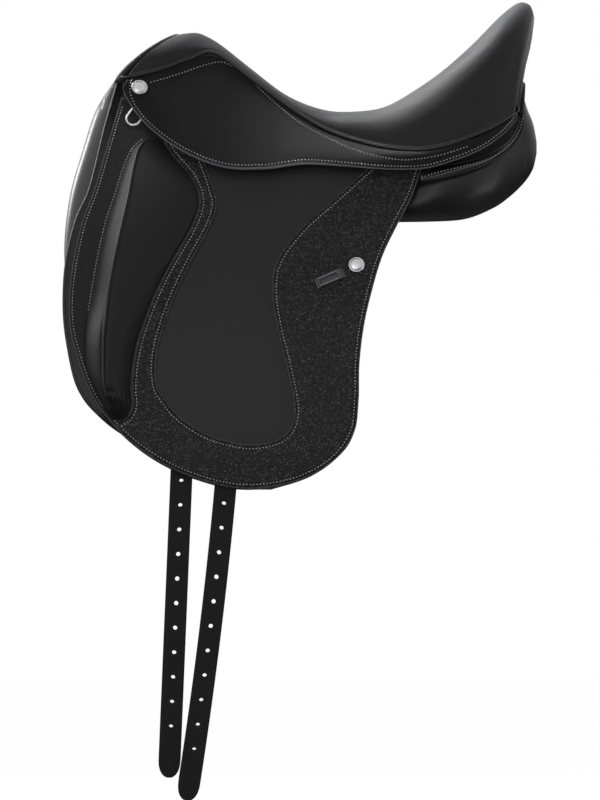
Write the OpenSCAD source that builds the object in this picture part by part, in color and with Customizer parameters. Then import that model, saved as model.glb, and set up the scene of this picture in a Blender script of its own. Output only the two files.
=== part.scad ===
// Dressage saddle on its panels, millimetres.
// +X points to the cantle, -Y is the near (left) side, +Z is up.
// The origin is in the middle of the gullet, level with the lowest panel bearing.

/* [Seat] */
// Seat size, from the pommel stud to the middle of the cantle
seat_size = 445; // [432:1:458]
// Width of the seat at its widest
seat_width = 280; // [272:1:288]
// Height of the cantle above the panel bearing
cantle_height = 250; // [244:1:256]
// Thickness of the seat leather
cover_t = 2; // [1.6:0.1:2.4]
// Thickness of the seat foam in the middle
foam_mid = 16; // [14:0.5:18]
// Thickness of the seat foam at the edge
foam_edge = 6; // [5:0.5:7]
// Diameter of the piped welts
welt_d = 4; // [3.4:0.2:4.6]
// Size of the roll round the front arch, from front to back
pommel_roll = 13; // [11:0.5:14]

/* [Tree] */
// Thickness of the tree
tree_t = 9; // [8:0.5:10]
// Thickness of the seat web
web_t = 1.5; // [1.2:0.1:2]
// Thickness of the steel head plate
plate_t = 3; // [2.4:0.2:3.6]
// Thickness of the tree springs
spring_t = 1.6; // [1.2:0.2:2]

/* [Skirts] */
// Thickness of the skirt
skirt_t = 3; // [2.6:0.1:3.4]
// Room under the lower edge of the skirt for the flap to lift
skirt_stand = 10; // [10:0.5:12]
// Rise of the skirt's soft crown between its edges
skirt_crown = 4; // [3:0.5:5]

/* [Flaps] */
// Depth of the flap below the panel bearing
flap_drop = 306; // [296:1:316]
// Distance between the two flaps at the bottom
flap_spread = 420; // [412:1:428]
// Thickness of the flap
flap_t = 3; // [2.6:0.1:3.4]
// Thickness of the grained overlay
overlay_t = 2; // [1.6:0.1:2.4]
// Thickness of the sweat flap
sweat_t = 3; // [2.6:0.1:3.4]
// Height of the thigh block above the flap
block_h = 27; // [24:1:30]
// Width of the seam between the thigh block and the overlay
seam_w = 2; // [1.5:0.1:3]

/* [Panels] */
// Half width of the gullet between the panels
gullet_half = 33; // [30:1:36]
// Radius of the panel's front roll
roll_r = 15; // [14:0.5:16]

/* [Girth straps] */
// Width of a girth strap
billet_w = 25; // [23:0.5:27]
// Thickness of a girth strap
billet_t = 4; // [3.6:0.1:4.4]
// Diameter of the punched holes
hole_d = 5; // [4.4:0.1:6]
// Distance between the punched holes
hole_pitch = 28; // [26:0.5:28.5]
// Number of punched holes in a strap
hole_count = 11; // [8:1:11]
// Depth of the front strap's tip below the panel bearing
front_drop = 634; // [620:1:650]
// Depth of the rear strap's tip below the panel bearing
rear_drop = 660; // [646:1:674]

/* [Metalwork] */
// Diameter of the round studs
stud_d = 18.5; // [16:0.5:20]
// Height of the round studs
stud_h = 4; // [3:0.5:5]
// Inner width of the dee ring
dee_w = 13; // [12:0.5:14]
// Inner height of the dee ring
dee_h = 17; // [15:0.5:19]
// Diameter of the dee ring wire
dee_wire = 3.2; // [2.8:0.2:3.6]
// Length of the stirrup bar's blade
bar_l = 58; // [54:1:62]
// Height of the stirrup bar's blade
bar_h = 12; // [11:0.5:13]
// Gap for the stirrup leather behind the blade
bar_gap = 8; // [7:0.5:9]

/* [Clearances] */
// Gap between pieces that lie on each other
fit_gap = 0.4; // [0.3:0.05:0.5]
// Gap between the flap and the sweat flap behind it
rest_gap = 0.8; // [0.6:0.1:1]
// Gap on each side of a swinging strap
strap_gap = 2; // [1.8:0.1:2.4]

/* [Hidden] */
$fn = 48;

// How far the driving sizes stretch the guide points
length_k = seat_size / 445;
width_k = seat_width / 280;
height_k = cantle_height / 250;
drop_k = flap_drop / 306;

// Guide points at the nominal size, front to back. Seat line at the middle: [x, z]
seat_mid = [
  [-134, 213], [-118, 214], [-106, 210], [-88, 199], [-52, 170.5], [-16, 143.5], [20, 128], [56, 123],
  [92, 128], [126, 146.5], [160, 170.3], [194, 199.8], [226, 231], [248, 247.5], [262, 246], [267, 234]
];
// Seat edge at the welt: [x, y, z]
seat_edge = [
  [-195, 64, 165], [-163, 60, 172], [-130, 51, 184], [-97, 41, 192.5], [-52, 50, 161], [-12, 66, 131],
  [27, 87, 106.5], [65, 106, 92], [103, 124, 83.5], [140, 136, 81.5], [172, 140, 87.5], [200, 135, 98],
  [222, 125, 108.5], [236, 114, 117], [242, 107, 121], [244, 103, 122]
];
// Hollow of the seat's middle below its rims
seat_dish = [0, 0, 0, 0, 0, 0, 0, 2, 5, 8, 10, 6, 1, 0, 0, 0];
// Height of the seat's shoulder as a share of its fall from the middle to the edge
seat_shoulder = [0.68, 0.68, 0.66, 0.62, 0.6, 0.7, 0.95, 1.38, 1.46, 1.49, 1.48, 1.3, 1.05, 0.85, 0.75, 0.7];
// Lower edge of the tree
tree_edge = [
  [-188, 50, 125], [-165, 50, 112], [-130, 50, 106], [-98, 50, 104], [-55, 50, 100], [-12, 58, 94],
  [27, 76, 84], [65, 95, 74], [103, 113, 67], [140, 125, 65], [172, 129, 71], [200, 124, 82],
  [222, 112, 97], [236, 100, 107], [242, 93, 111], [244, 90, 112]
];
// Lower edge of the skirt
skirt_low = [
  [-199, 74, 150], [-190, 84, 127], [-168, 98, 102], [-132, 110, 77], [-88, 118, 60], [-42, 121, 58],
  [5, 123, 63.5], [52, 129, 60.5], [98, 136, 56.5], [140, 144, 57], [176, 147, 66.5], [206, 142, 79],
  [228, 132, 94], [240, 120, 106], [245, 112, 112], [247, 107, 116]
];
// Lower edge of the cantle facing from the middle outwards
cantle_low = [[250, 0, 155], [250, 40, 153], [249, 74, 141], [247, 96, 118]];

// Line about which the flap lifts, on its outer face: front and rear ends
lift_front = [-222, 66, 125];
lift_rear = [138, 128, 50];

// Flap outline, top to bottom: [x, z]
flap_front = [
  [-203, 140], [-217, 92], [-233, 36.5], [-249, -9], [-260.5, -68], [-262, -116], [-253, -157], [-236, -201],
  [-209, -237], [-171, -269], [-123, -293], [-68, -306]
];
flap_rear = [
  [138, 59], [127, 27], [109, -8], [93, -42], [81, -82], [72, -122], [67, -165], [66, -207],
  [60, -245], [43, -270], [11, -292], [-32, -306]
];
// Sweat flap outline, top to bottom
sweat_front = [
  [-206, 160], [-221, 106], [-238, 36], [-254, -2], [-265, -50], [-267.5, -100], [-263, -144], [-251, -192],
  [-227, -222], [-194, -246], [-142, -270], [-74, -285]
];
sweat_rear = [
  [104, 52], [94, 24], [80, -11], [68, -46], [58, -84], [50, -125], [46, -166], [44, -205],
  [36, -239], [17, -260], [-11, -276], [-43, -284]
];
// Thigh block outline, top to bottom, and its height as a share of the full height
block_front = [
  [-176, 95], [-192, 81], [-203, 57], [-212, 28], [-222, -2], [-230, -36], [-237, -74], [-242, -105],
  [-245, -135], [-244, -164], [-237, -188], [-225, -211], [-213, -228]
];
block_rear = [
  [-157, 89], [-145, 71], [-125, 47], [-116, 21], [-124, -7], [-142, -39], [-161, -74], [-174, -105],
  [-185, -137], [-191, -166], [-193, -192], [-192, -211], [-197, -225]
];
block_rise = [0.06, 0.2, 0.5, 0.74, 0.88, 0.97, 1, 1, 1, 1, 0.95, 0.7, 0.06];
// Where the block's front gusset meets its face, as a share of its width
block_ridge = [0.2, 0.18, 0.17, 0.18, 0.21, 0.24, 0.28, 0.33, 0.37, 0.39, 0.33, 0.25, 0.2];
// Overlay outline behind the block and round the flap's edge, with the insert's edge beside it
overlay_edge = [
  [-207, -238], [-171, -269], [-123, -293], [-68, -306], [-11, -300], [34, -278], [60, -245], [66, -207],
  [67, -165], [72, -122], [81, -82], [93, -42], [109, -8], [127, 27], [138, 59]
];
insert_edge = [
  [-117, 84], [-108, 62], [-99, 36], [-95, 15], [-104, -12], [-122, -45], [-139, -80], [-151, -110],
  [-160, -140], [-164, -166], [-162, -190], [-156, -202], [-149, -211], [-142, -220], [-126, -233],
  [-100, -247], [-63, -256], [-32, -253], [-14, -242], [-7, -222], [-9, -199], [-17, -162],
  [-27, -120], [-32, -82], [-26, -48], [1, -11], [41, 25], [82, 62]
];
// Panel sections, front to back: x, middle y and z, half width, half thickness, tilt
panel_sections = [
  [-196, 54, 78, 26, 8, -58], [-170, 60, 69, 30, 11, -56], [-120, 62, 58, 38, 15, -48],
  [-60, 66, 44, 41, 18, -37],
  [0, 71, 35, 42, 21, -26], [60, 78, 30, 45, 25, -15], [110, 84, 29, 51, 28, -7], [150, 86, 31, 53, 31, 0],
  [190, 84, 38, 50, 35, 0], [222, 74, 53, 42, 37.5, 0], [240, 64, 74.5, 35, 46.5, 0], [252, 58, 90, 26, 51, 0],
  [260, 55, 86, 21, 37.5, 0], [266, 53, 84, 13, 24, 0], [269.5, 52, 82.5, 5, 7, 0]
];
// Middle line of the panel's front roll: [x, z, share of the full radius]
roll_line = [
  [-203, 158, 0.5], [-218, 120, 1], [-233, 74, 1], [-246, 28, 1], [-255, -15, 0.8], [-259, -52, 0.55],
  [-256, -84, 0.3]
];
// Steps of the seat's grid, front to back and side to side
seat_rows = 24;
seat_columns = 20;

// Cubic curve between b and c, with neighbours a and d
function bend(a, b, c, d, t) =
  b + 0.5 * t * ((c - a) + t * ((2 * a - 5 * b + 4 * c - d) + t * (3 * (b - c) + d - a)));

// Smooth curve through a list of points, s from 0 to 1
function along(list, s) =
  let (last = len(list) - 1)
  let (q = max(0, min(1, s)) * last)
  let (i = min(floor(q), last - 1))
  bend(list[max(i - 1, 0)], list[i], list[i + 1], list[min(i + 2, last)], q - i);

// Guide point at the driving sizes
function sized(p) = [p[0] * length_k, p[1] * width_k, p[2] * (p[2] > 0 ? height_k : drop_k)];
function flat_sized(p) = [p[0] * length_k, p[1] * (p[1] > 0 ? height_k : drop_k)];

function unit(v) = v / norm(v);
function ease(t) = let (q = max(0, min(1, t))) q * q * (3 - 2 * q);

// Seat surface: u from the front arch to the back of the cantle, v from the left welt to the right welt
function seat_point(u, v) =
  let (mid = along(seat_mid, u))
  let (edge = along(seat_edge, u))
  let (top = mid[1] - along(seat_dish, u))
  let (shoulder = edge[2] + along(seat_shoulder, u) * (mid[1] - edge[2]))
  let (t = abs(v))
  let (w = 1 - t)
  let (near = w * w * (w + 3 * t))
  let (rise = 3 * w * t * t)
  let (far = t * t * t)
  let (x = mid[0] * near + (0.65 * edge[0] + 0.35 * mid[0]) * rise + edge[0] * far)
  let (y = edge[1] * (1.5 * w * w * t + rise + far))
  let (z = top * near + shoulder * rise + edge[2] * far)
  sized([x, sign(v) * y, z]);

function seat_normal(u, v) =
  let (h = 0.004)
  let (lengthways = seat_point(min(1, u + h), v) - seat_point(max(0, u - h), v))
  let (sideways = seat_point(u, min(1, v + 2 * h)) - seat_point(u, max(-1, v - 2 * h)))
  unit(cross(lengthways, sideways));

function seat_u(i) = i / seat_rows;
function seat_v(j) = 2 * j / seat_columns - 1;

// Grid of seat points at a depth below the leather's outer face
function seat_grid(depth) = [
  for (i = [0:seat_rows]) [
    for (j = [0:seat_columns])
      seat_point(seat_u(i), seat_v(j)) - depth * seat_normal(seat_u(i), seat_v(j))
  ]
];
function part_of(grid, r0, r1, c0, c1) = [for (i = [r0:r1]) [for (j = [c0:c1]) grid[i][j]]];
function lowered(grid, drop) = [for (row = grid) [for (p = row) p - [0, 0, drop]]];

// Lowest face of the foam
foam_top = seat_grid(cover_t + fit_gap);
foam_low = [
  for (i = [0:seat_rows]) [
    for (j = [0:seat_columns])
      foam_top[i][j] - [0, 0, foam_edge + (foam_mid - foam_edge) * (1 - pow(seat_v(j), 2))]
  ]
];

// Tree rows: the foam's underside between two side aprons that run down to the tree's lower edge
tree_first = 1;
tree_last = 21;
under_web = web_t + 2 * fit_gap;
function apron_low(i, side) = let (p = sized(along(tree_edge, seat_u(i)))) [p[0], side * p[1], p[2]];
function apron_mid(i, side) =
  let (top = foam_low[i][side < 0 ? 2 : seat_columns - 2] - [0, 0, under_web])
  (top + apron_low(i, side)) / 2 + [0, 0, 2];
// Column by column: point on the tree's upper face and the direction of its thickness
function tree_row(i) = concat(
  [[apron_low(i, -1), [0, 1, 0]], [apron_mid(i, -1), [0, 0.7, -0.7]]],
  [for (j = [2:seat_columns - 2]) [foam_low[i][j] - [0, 0, under_web], [0, 0, -1]]],
  [[apron_mid(i, 1), [0, -0.7, -0.7]], [apron_low(i, 1), [0, -1, 0]]]
);
tree_rows = [for (i = [0:tree_last]) tree_row(i)];
function tree_grid(depth, r0, r1, c0, c1) = [
  for (i = [r0:r1]) [for (j = [c0:c1]) tree_rows[i][j][0] + depth * tree_rows[i][j][1]]
];
tree_columns = seat_columns;

// Outer face of the flap as a sideways distance from the middle of the saddle
lift_a = sized(lift_front);
lift_b = sized(lift_rear);
function lift_share(x) = (x - lift_a[0]) / (lift_b[0] - lift_a[0]);
function lift_y(x) = lift_a[1] + (lift_b[1] - lift_a[1]) * lift_share(x);
function lift_z(x) = lift_a[2] + (lift_b[2] - lift_a[2]) * lift_share(x);
function splay(s) = s > 1 ? 1 : s > 0 ? 1 - pow(1 - s, 1.8) : s > -0.072 ? 1.8 * s + 12.5 * s * s : -0.0648;
function flap_face(x, z) =
  let (s = (lift_z(x) - z) / (lift_z(x) + flap_drop))
  lift_y(x) + (flap_spread / 2 - lift_y(x)) * splay(s);

// Room behind the flap: wide where the girth straps hang, narrow at the front and the rear
strap_room = 2 * billet_t + 3 * strap_gap + 1;
function behind_flap(x, z) =
  let (band = ease((x / length_k + 225) / 40) * ease((25 - x / length_k) / 50))
  rest_gap + (strap_room - rest_gap) * band + 0.3 * max(0, z - lift_z(x));
function sweat_face(x, z) = flap_face(x, z) - flap_t - behind_flap(x, z);

// Outer face of a girth strap's layer, counted from the flap inwards
function strap_face(x, z, layer) =
  flap_face(x, z) - flap_t - strap_gap - layer * (billet_t + strap_gap);

// Skirt surface: s from front to rear, t from the welt to the lower edge
welt_drop = welt_d + 2 * fit_gap;
skirt_edge = [
  for (p = skirt_low)
    let (q = sized(p))
    let (over_flap = flap_face(q[0], q[2]) + overlay_t + fit_gap + skirt_stand + skirt_t)
    p[0] < 110 ? [q[0], max(q[1], over_flap), q[2]] : q
];
function skirt_point(s, t) =
  let (top = sized(along(seat_edge, s)) - [0, 0, welt_drop])
  let (low = along(skirt_edge, s))
  top + (low - top) * t + skirt_crown * sin(180 * t) * [0, 0.8, 0.6];
function skirt_normal(s, t) =
  let (h = 0.01)
  let (lengthways = skirt_point(min(1, s + h), t) - skirt_point(max(0, s - h), t))
  let (down = skirt_point(s, min(1, t + h)) - skirt_point(s, max(0, t - h)))
  unit(cross(lengthways, down));

// Solid between two grids of points, without the cells of the hole [row, row, column, column]
module slab(outer, inner, hole = [0, 0, 0, 0]) {
  rows = len(outer) - 1;
  columns = len(outer[0]) - 1;
  stride = columns + 1;
  count = (rows + 1) * stride;
  points = concat([for (row = outer) each row], [for (row = inner) each row]);
  function full(i, j) =
    i >= 0 && j >= 0 && i < rows && j < columns
    && !(i >= hole[0] && i < hole[1] && j >= hole[2] && j < hole[3]);
  function wall(p, q) = [[q, p, p + count], [q, p + count, q + count]];
  faces = [
    for (i = [0:rows - 1], j = [0:columns - 1])
      if (full(i, j))
        let (a = i * stride + j)
        let (b = a + 1)
        let (c = b + stride)
        let (d = a + stride)
        each concat(
          [[a, b, c], [a, c, d]],
          [[a + count, c + count, b + count], [a + count, d + count, c + count]],
          full(i - 1, j) ? [] : wall(a, b),
          full(i, j + 1) ? [] : wall(b, c),
          full(i + 1, j) ? [] : wall(c, d),
          full(i, j - 1) ? [] : wall(d, a)
        )
  ];
  closed(points, faces);
}

// Solid through rings of points, its ends closed at their middles
module loft(rings) {
  n = len(rings[0]);
  last = len(rings) - 1;
  function middle(ring) = [for (k = [0:2]) [for (p = ring) p[k]] * [for (p = ring) 1 / n]];
  points = concat([for (ring = rings) each ring], [middle(rings[0]), middle(rings[last])]);
  head = n * (last + 1);
  faces = [
    for (i = [0:last - 1], j = [0:n - 1])
      let (a = i * n + j)
      let (b = i * n + (j + 1) % n)
      each [[a, b, b + n], [a, b + n, a + n]]
  ];
  caps = [
    for (j = [0:n - 1])
      let (k = (j + 1) % n)
      each [[head, k, j], [head + 1, last * n + j, last * n + k]]
  ];
  closed(points, concat(faces, caps));
}

// Polyhedron with its faces turned outwards
module closed(points, faces) {
  volume = [for (f = faces) points[f[0]] * cross(points[f[1]], points[f[2]])] * [for (f = faces) 1];
  polyhedron(points, volume > 0 ? [for (f = faces) [f[2], f[1], f[0]]] : faces);
}

// Bead of round section along a path, with its two section directions at each point
module bead(path, across, up, width, height) {
  loft([
    for (i = [0:len(path) - 1]) [
      for (k = [0:7])
        path[i] + across[i] * width / 2 * cos(45 * k) + up[i] * height / 2 * sin(45 * k)
    ]
  ]);
}

// Seat
module seat_cover() {
  color("#1b1b1d") slab(seat_grid(0), seat_grid(cover_t));
}
module seat_foam() {
  color("#d9cf9f") slab(
    part_of(foam_top, 0, 22, 2, seat_columns - 2),
    part_of(foam_low, 0, 22, 2, seat_columns - 2)
  );
}
module seat_web() {
  top = lowered(part_of(foam_low, 2, 20, 8, 12), fit_gap);
  color("#c8bda6") slab(top, lowered(top, web_t));
}
module seat_welt(side) {
  path = [
    for (i = [0:seat_rows])
      let (p = sized(along(seat_edge, seat_u(i))))
      [p[0], side * p[1], p[2] - fit_gap - welt_d / 2]
  ];
  across = [for (p = path) [0, 1, 0]];
  up = [for (p = path) [0, 0, 1]];
  color("#141414") bead(path, across, up, welt_d, welt_d);
}
// Rim of the seat leather behind the cantle, moved on along the leather by a distance
function cantle_rim(j, past) =
  let (end = seat_point(1, seat_v(j)))
  end + past * unit(end - seat_point(0.985, seat_v(j))) - cover_t / 2 * seat_normal(1, seat_v(j));
module cantle_welt() {
  inner = [for (j = [1:seat_columns - 1]) cantle_rim(j, fit_gap + welt_d / 2)];
  across = [for (j = [1:seat_columns - 1]) seat_normal(1, seat_v(j))];
  up = [for (j = [1:seat_columns - 1]) unit(seat_point(1, seat_v(j)) - seat_point(0.985, seat_v(j)))];
  color("#141414") bead(inner, across, up, welt_d, welt_d);
}
module cantle_facing() {
  columns = [2:seat_columns - 2];
  function low(j) =
    let (p = sized(along(cantle_low, abs(seat_v(j)))))
    [p[0], sign(seat_v(j)) * p[1], p[2]];
  function face(j, t) =
    let (top = cantle_rim(j, welt_d + 2 * fit_gap + 0.2))
    top + (low(j) - top) * t + [3 * sin(180 * t), 0, 0];
  outer = [for (k = [0:4]) [for (j = columns) face(j, k / 4)]];
  inner = [for (row = outer) [for (p = row) p - [cover_t, 0, 0]]];
  color("#1b1b1d") slab(outer, inner);
}
module pommel_facing() {
  span = [0:seat_columns];
  forward = [for (j = span) unit(seat_point(0, seat_v(j)) - seat_point(0.012, seat_v(j)))];
  up = [for (j = span) seat_normal(0, seat_v(j))];
  path = [
    for (j = span)
      seat_point(0, seat_v(j)) + forward[j] * (pommel_roll / 2 + fit_gap) - up[j] * pommel_roll * 0.36
  ];
  last = seat_columns;
  tail = 11;
  left = path[0] + tail * unit([-4, -10, -10]);
  right = path[last] + tail * unit([-4, 10, -10]);
  color("#1b1b1d") bead(
    concat([left], path, [right]),
    concat([forward[0]], forward, [forward[last]]),
    concat([up[0]], up, [up[last]]),
    pommel_roll, pommel_roll * 0.8
  );
}

// Tree and steelwork under the seat
module tree() {
  color("#b08a5a") slab(
    tree_grid(0, tree_first, tree_last, 0, tree_columns),
    tree_grid(tree_t, tree_first, tree_last, 0, tree_columns),
    [4, 16, 6, 14]
  );
}
module head_plate() {
  top = tree_t + fit_gap;
  function leg(i, side, z, depth) =
    let (x = apron_low(i, side)[0])
    [x, side * (sweat_face(x, z) - sweat_t - fit_gap - 0.2 - depth), z];
  heights = [46, 66, 86];
  function row(i, depth) = concat(
    [for (z = heights) leg(i, -1, z * height_k, depth)],
    [for (j = [0:tree_columns]) tree_rows[i][j][0] + (top + depth) * tree_rows[i][j][1]],
    [for (k = [2:-1:0]) leg(i, 1, heights[k] * height_k, depth)]
  );
  color("#8d9196") slab([for (i = [1:3]) row(i, 0)], [for (i = [1:3]) row(i, plate_t)]);
}
module tree_spring(column) {
  top = tree_t + fit_gap;
  color("#8d9196") slab(
    tree_grid(top, 4, 20, column, column + 1),
    tree_grid(top + spring_t, 4, 20, column, column + 1)
  );
}

// Skirts
module skirt() {
  across = 5;
  outer = [for (i = [0:seat_rows]) [for (k = [0:across]) skirt_point(seat_u(i), k / across)]];
  inner = [
    for (i = [0:seat_rows]) [
      for (k = [0:across]) outer[i][k] - skirt_t * skirt_normal(seat_u(i), k / across)
    ]
  ];
  color("#1d1d1f") slab(outer, inner);
}

// Moves a shape drawn on the XY plane onto a point, its X along a and its Z along n
module onto(origin, a, n) {
  b = cross(n, a);
  multmatrix([
    [a[0], b[0], n[0], origin[0]],
    [a[1], b[1], n[1], origin[1]],
    [a[2], b[2], n[2], origin[2]],
    [0, 0, 0, 1]
  ]) children();
}

// Round stud with a raised rim and a domed middle
module stud() {
  r = stud_d / 2;
  rotate_extrude() polygon([
    [0, 0], [r, 0], [r, stud_h * 0.5], [r * 0.96, stud_h * 0.75], [r * 0.86, stud_h * 0.8],
    [r * 0.78, stud_h * 0.6], [r * 0.6, stud_h * 0.8], [r * 0.3, stud_h * 0.96], [0, stud_h]
  ]);
}
module pommel_stud() {
  s = 0.8 / 15;
  t = 0.55;
  n = skirt_normal(s, t);
  a = unit(cross([0, 0, 1], n));
  color("#b9bcc0") onto(skirt_point(s, t) + n * (fit_gap + 0.2), a, n) stud();
}

// Dee ring hung under the skirt's front edge
dee_s = 1.2 / 15;
// Turn of the ring's bar from the skirt's edge towards the level
dee_turn = 20;
dee_n = skirt_normal(dee_s, 0.97);
dee_run = unit(skirt_point(dee_s - 0.01, 1) - skirt_point(dee_s + 0.01, 1));
dee_edge = unit(dee_run - dee_n * (dee_run * dee_n));
dee_a = dee_edge * cos(dee_turn) + cross(dee_edge, dee_n) * sin(dee_turn);
dee_d = cross(dee_a, dee_n);
chape_t = 1.8;
chape_bore = dee_wire / 2 + fit_gap;
chape_r = chape_bore + chape_t;
dee_under = 6.5;
dee_bar = skirt_point(dee_s, 1) - dee_n * (skirt_t + fit_gap + 0.6 + chape_r) - dee_d * dee_under;
module dee_chape() {
  color("#1b1b1d") onto(dee_bar, dee_a, dee_n) difference() {
    union() {
      translate([-dee_w / 2 + 3, 0, 0]) rotate([0, 90, 0]) cylinder(r = chape_r, h = dee_w - 6);
      translate([-dee_w / 2 + 3, 0, chape_bore]) cube([dee_w - 6, 12, chape_t]);
    }
    translate([-dee_w, 0, 0]) rotate([0, 90, 0]) cylinder(r = chape_bore, h = 2 * dee_w);
  }
}
module dee_ring() {
  r = dee_wire / 2;
  reach = (dee_w + dee_wire) / 2;
  leg = dee_h + r - dee_w / 2;
  color("#c9ccd0") onto(dee_bar, dee_a, dee_n) {
    translate([-reach, 0, 0]) rotate([0, 90, 0]) cylinder(r = r, h = 2 * reach);
    for (side = [-1, 1]) {
      translate([side * reach, 0, 0]) sphere(r = r);
      translate([side * reach, 0, 0]) rotate([90, 0, 0]) cylinder(r = r, h = leg);
    }
    translate([0, -leg, 0]) rotate([0, 0, 180]) rotate_extrude(angle = 180) translate([reach, 0]) circle(r = r);
  }
}

// Stirrup bar: a plate riveted to the tree, a neck in front and a blade that is open behind
bar_x = -138 * length_k;
bar_z = 118 * height_k;
bar_y = 49.9 * width_k + fit_gap;
bar_plate_t = 3.5;
bar_neck = 9;
blade_t = 7;
blade_y = bar_plate_t + bar_gap;
plate_h = 20;
rivet_d = 5;
rivet_h = 1.2;
pin_d = 3;
tongue_t = 2.4;
tongue_l = 9;
tongue_y = blade_y + blade_t / 2;
pin_x = bar_l + 5;
module at_bar() {
  translate([bar_x, bar_y, bar_z]) children();
}
module stirrup_bar() {
  color("#9a9da1") at_bar() difference() {
    union() {
      translate([0, 0, -plate_h / 2]) cube([bar_l + 8, bar_plate_t, plate_h]);
      translate([0, 0, -bar_h / 2]) cube([bar_neck, blade_y + blade_t, bar_h]);
      translate([0, blade_y, -bar_h / 2]) cube([bar_l, blade_t, bar_h]);
      translate([bar_l - 1, tongue_y - tongue_t / 2, -4]) cube([tongue_l, tongue_t, 8]);
      translate([pin_x, blade_y, 0]) rotate([-90, 0, 0]) cylinder(d = pin_d, h = blade_t);
    }
    for (x = [18, bar_l - 4])
      translate([x, -1, 0]) rotate([-90, 0, 0]) cylinder(d = rivet_d + 2 * fit_gap, h = bar_plate_t + 2);
  }
}
module bar_rivets() {
  color("#8d9196") for (side = [0, 1]) mirror([0, side, 0]) at_bar()
    for (x = [18, bar_l - 4])
      translate([x, 0, 0]) rotate([-90, 0, 0]) {
        cylinder(d = rivet_d, h = bar_plate_t + fit_gap + rivet_h);
        translate([0, 0, bar_plate_t + fit_gap]) cylinder(d = 9, h = rivet_h);
      }
}
// Catch that swings up behind the blade's end
module safety_catch() {
  color("#9a9da1") at_bar() difference() {
    union() {
      translate([pin_x, blade_y, 0]) rotate([-90, 0, 0]) cylinder(d = bar_h - 4, h = blade_t);
      translate([pin_x, blade_y, -(bar_h - 4) / 2]) cube([18, blade_t, bar_h - 4]);
      translate([pin_x + 18, blade_y, 0]) rotate([-90, 0, 0]) cylinder(d = bar_h - 4, h = blade_t);
    }
    translate([pin_x - 20, tongue_y - tongue_t / 2 - fit_gap, -10]) cube([26, tongue_t + 2 * fit_gap, 20]);
    translate([pin_x, blade_y - 1, 0]) rotate([-90, 0, 0]) cylinder(d = pin_d + 2 * fit_gap, h = blade_t + 2);
  }
}

// Girth straps and the webs that carry them
front_u = 2.36 / 15;
rear_u = 3.8 / 15;
front_top = sized(along(tree_edge, front_u));
rear_top = sized(along(tree_edge, rear_u));
front_pivot_z = 84 * height_k;
rear_pivot_z = 70 * height_k;
strap_above = 10;
front_start = [front_top[0], front_pivot_z + strap_above];
front_tip = [-149 * length_k, -front_drop];
rear_start = [rear_top[0], rear_pivot_z + strap_above];
rear_tip = [-129 * length_k, -rear_drop];
rear_bow = 52;
point_l = 22;
hole_first = 58;

// Middle line of a strap, w from its upper end to its tip, bowed backwards
function strap_mid(start, tip, bow, w) = start + (tip - start) * w + [bow * w * (1 - w), 0];
function strap_run(start, tip, bow, w) = unit(tip - start + [bow * (1 - 2 * w), 0]);
function side_of(v) = [-v[1], v[0]];

// Strap outline: two sides along its middle line and a rounded point
function strap_outline(start, tip, bow, steps) =
  let (share = 1 - point_l / norm(tip - start))
  let (run = strap_run(start, tip, bow, 1))
  let (mids = [for (k = [0:steps]) strap_mid(start, tip, bow, share * k / steps)])
  let (sides = [for (k = [0:steps]) side_of(strap_run(start, tip, bow, share * k / steps)) * billet_w / 2])
  let (nose = [
    for (a = [-75:25:75])
      mids[steps] + run * point_l * pow(cos(a), 0.8) + side_of(run) * billet_w / 2 * sin(a)
  ])
  concat(
    [for (k = [0:steps]) mids[k] - sides[k]],
    nose,
    [for (k = [steps:-1:0]) mids[k] + sides[k]]
  );
// Strap layer seen from the front: it follows the flap and hangs straight below it
function strap_layer(x, top, low, layer) =
  let (steps = [-5, 25, 60, 110, 170, 240, 310])
  let (levels = concat([for (d = steps) top - d], [-flap_drop - 2, low - 5]))
  concat(
    [for (z = levels) [strap_face(x, z, layer), z]],
    [for (k = [len(levels) - 1:-1:0]) [strap_face(x, levels[k], layer) - billet_t, levels[k]]]
  );
module billet(start, tip, bow, layer, steps) {
  color("#19191a") difference() {
    intersection() {
      rotate([90, 0, 0]) translate([0, 0, -500]) linear_extrude(height = 500)
        polygon(strap_outline(start, tip, bow, steps));
      translate([-300, 0, 0]) rotate([90, 0, 90]) linear_extrude(height = 400)
        polygon(strap_layer(start[0], start[1], tip[1], layer));
    }
    for (k = [0:hole_count - 1]) {
      p = strap_mid(start, tip, bow, 1 - (hole_first + k * hole_pitch) / (start[1] - tip[1]));
      translate([p[0], 0, p[1]]) rotate([-90, 0, 0]) cylinder(d = hole_d, h = 400);
    }
  }
}
module girth_web(anchor, pivot_z, layer) {
  x = anchor[0];
  inside = billet_t + fit_gap + 0.8;
  function back(z) = strap_face(x, z, layer) - inside;
  top = anchor[2] - fit_gap - 1.2;
  levels = [pivot_z + 6, pivot_z, pivot_z - 7];
  outer = concat([[anchor[1] - 1, top], [anchor[1] + 6, top - 5]], [for (z = levels) [back(z), z]]);
  behind = [for (k = [2:-1:0]) [back(levels[k]) - 2, levels[k]]];
  inner = concat(behind, [[anchor[1] + 4, top - 8], [anchor[1] - 5, top]]);
  color("#8a8378") translate([x - billet_w / 2, 0, 0]) rotate([90, 0, 90]) linear_extrude(height = billet_w)
    polygon(concat(outer, inner));
}

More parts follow.
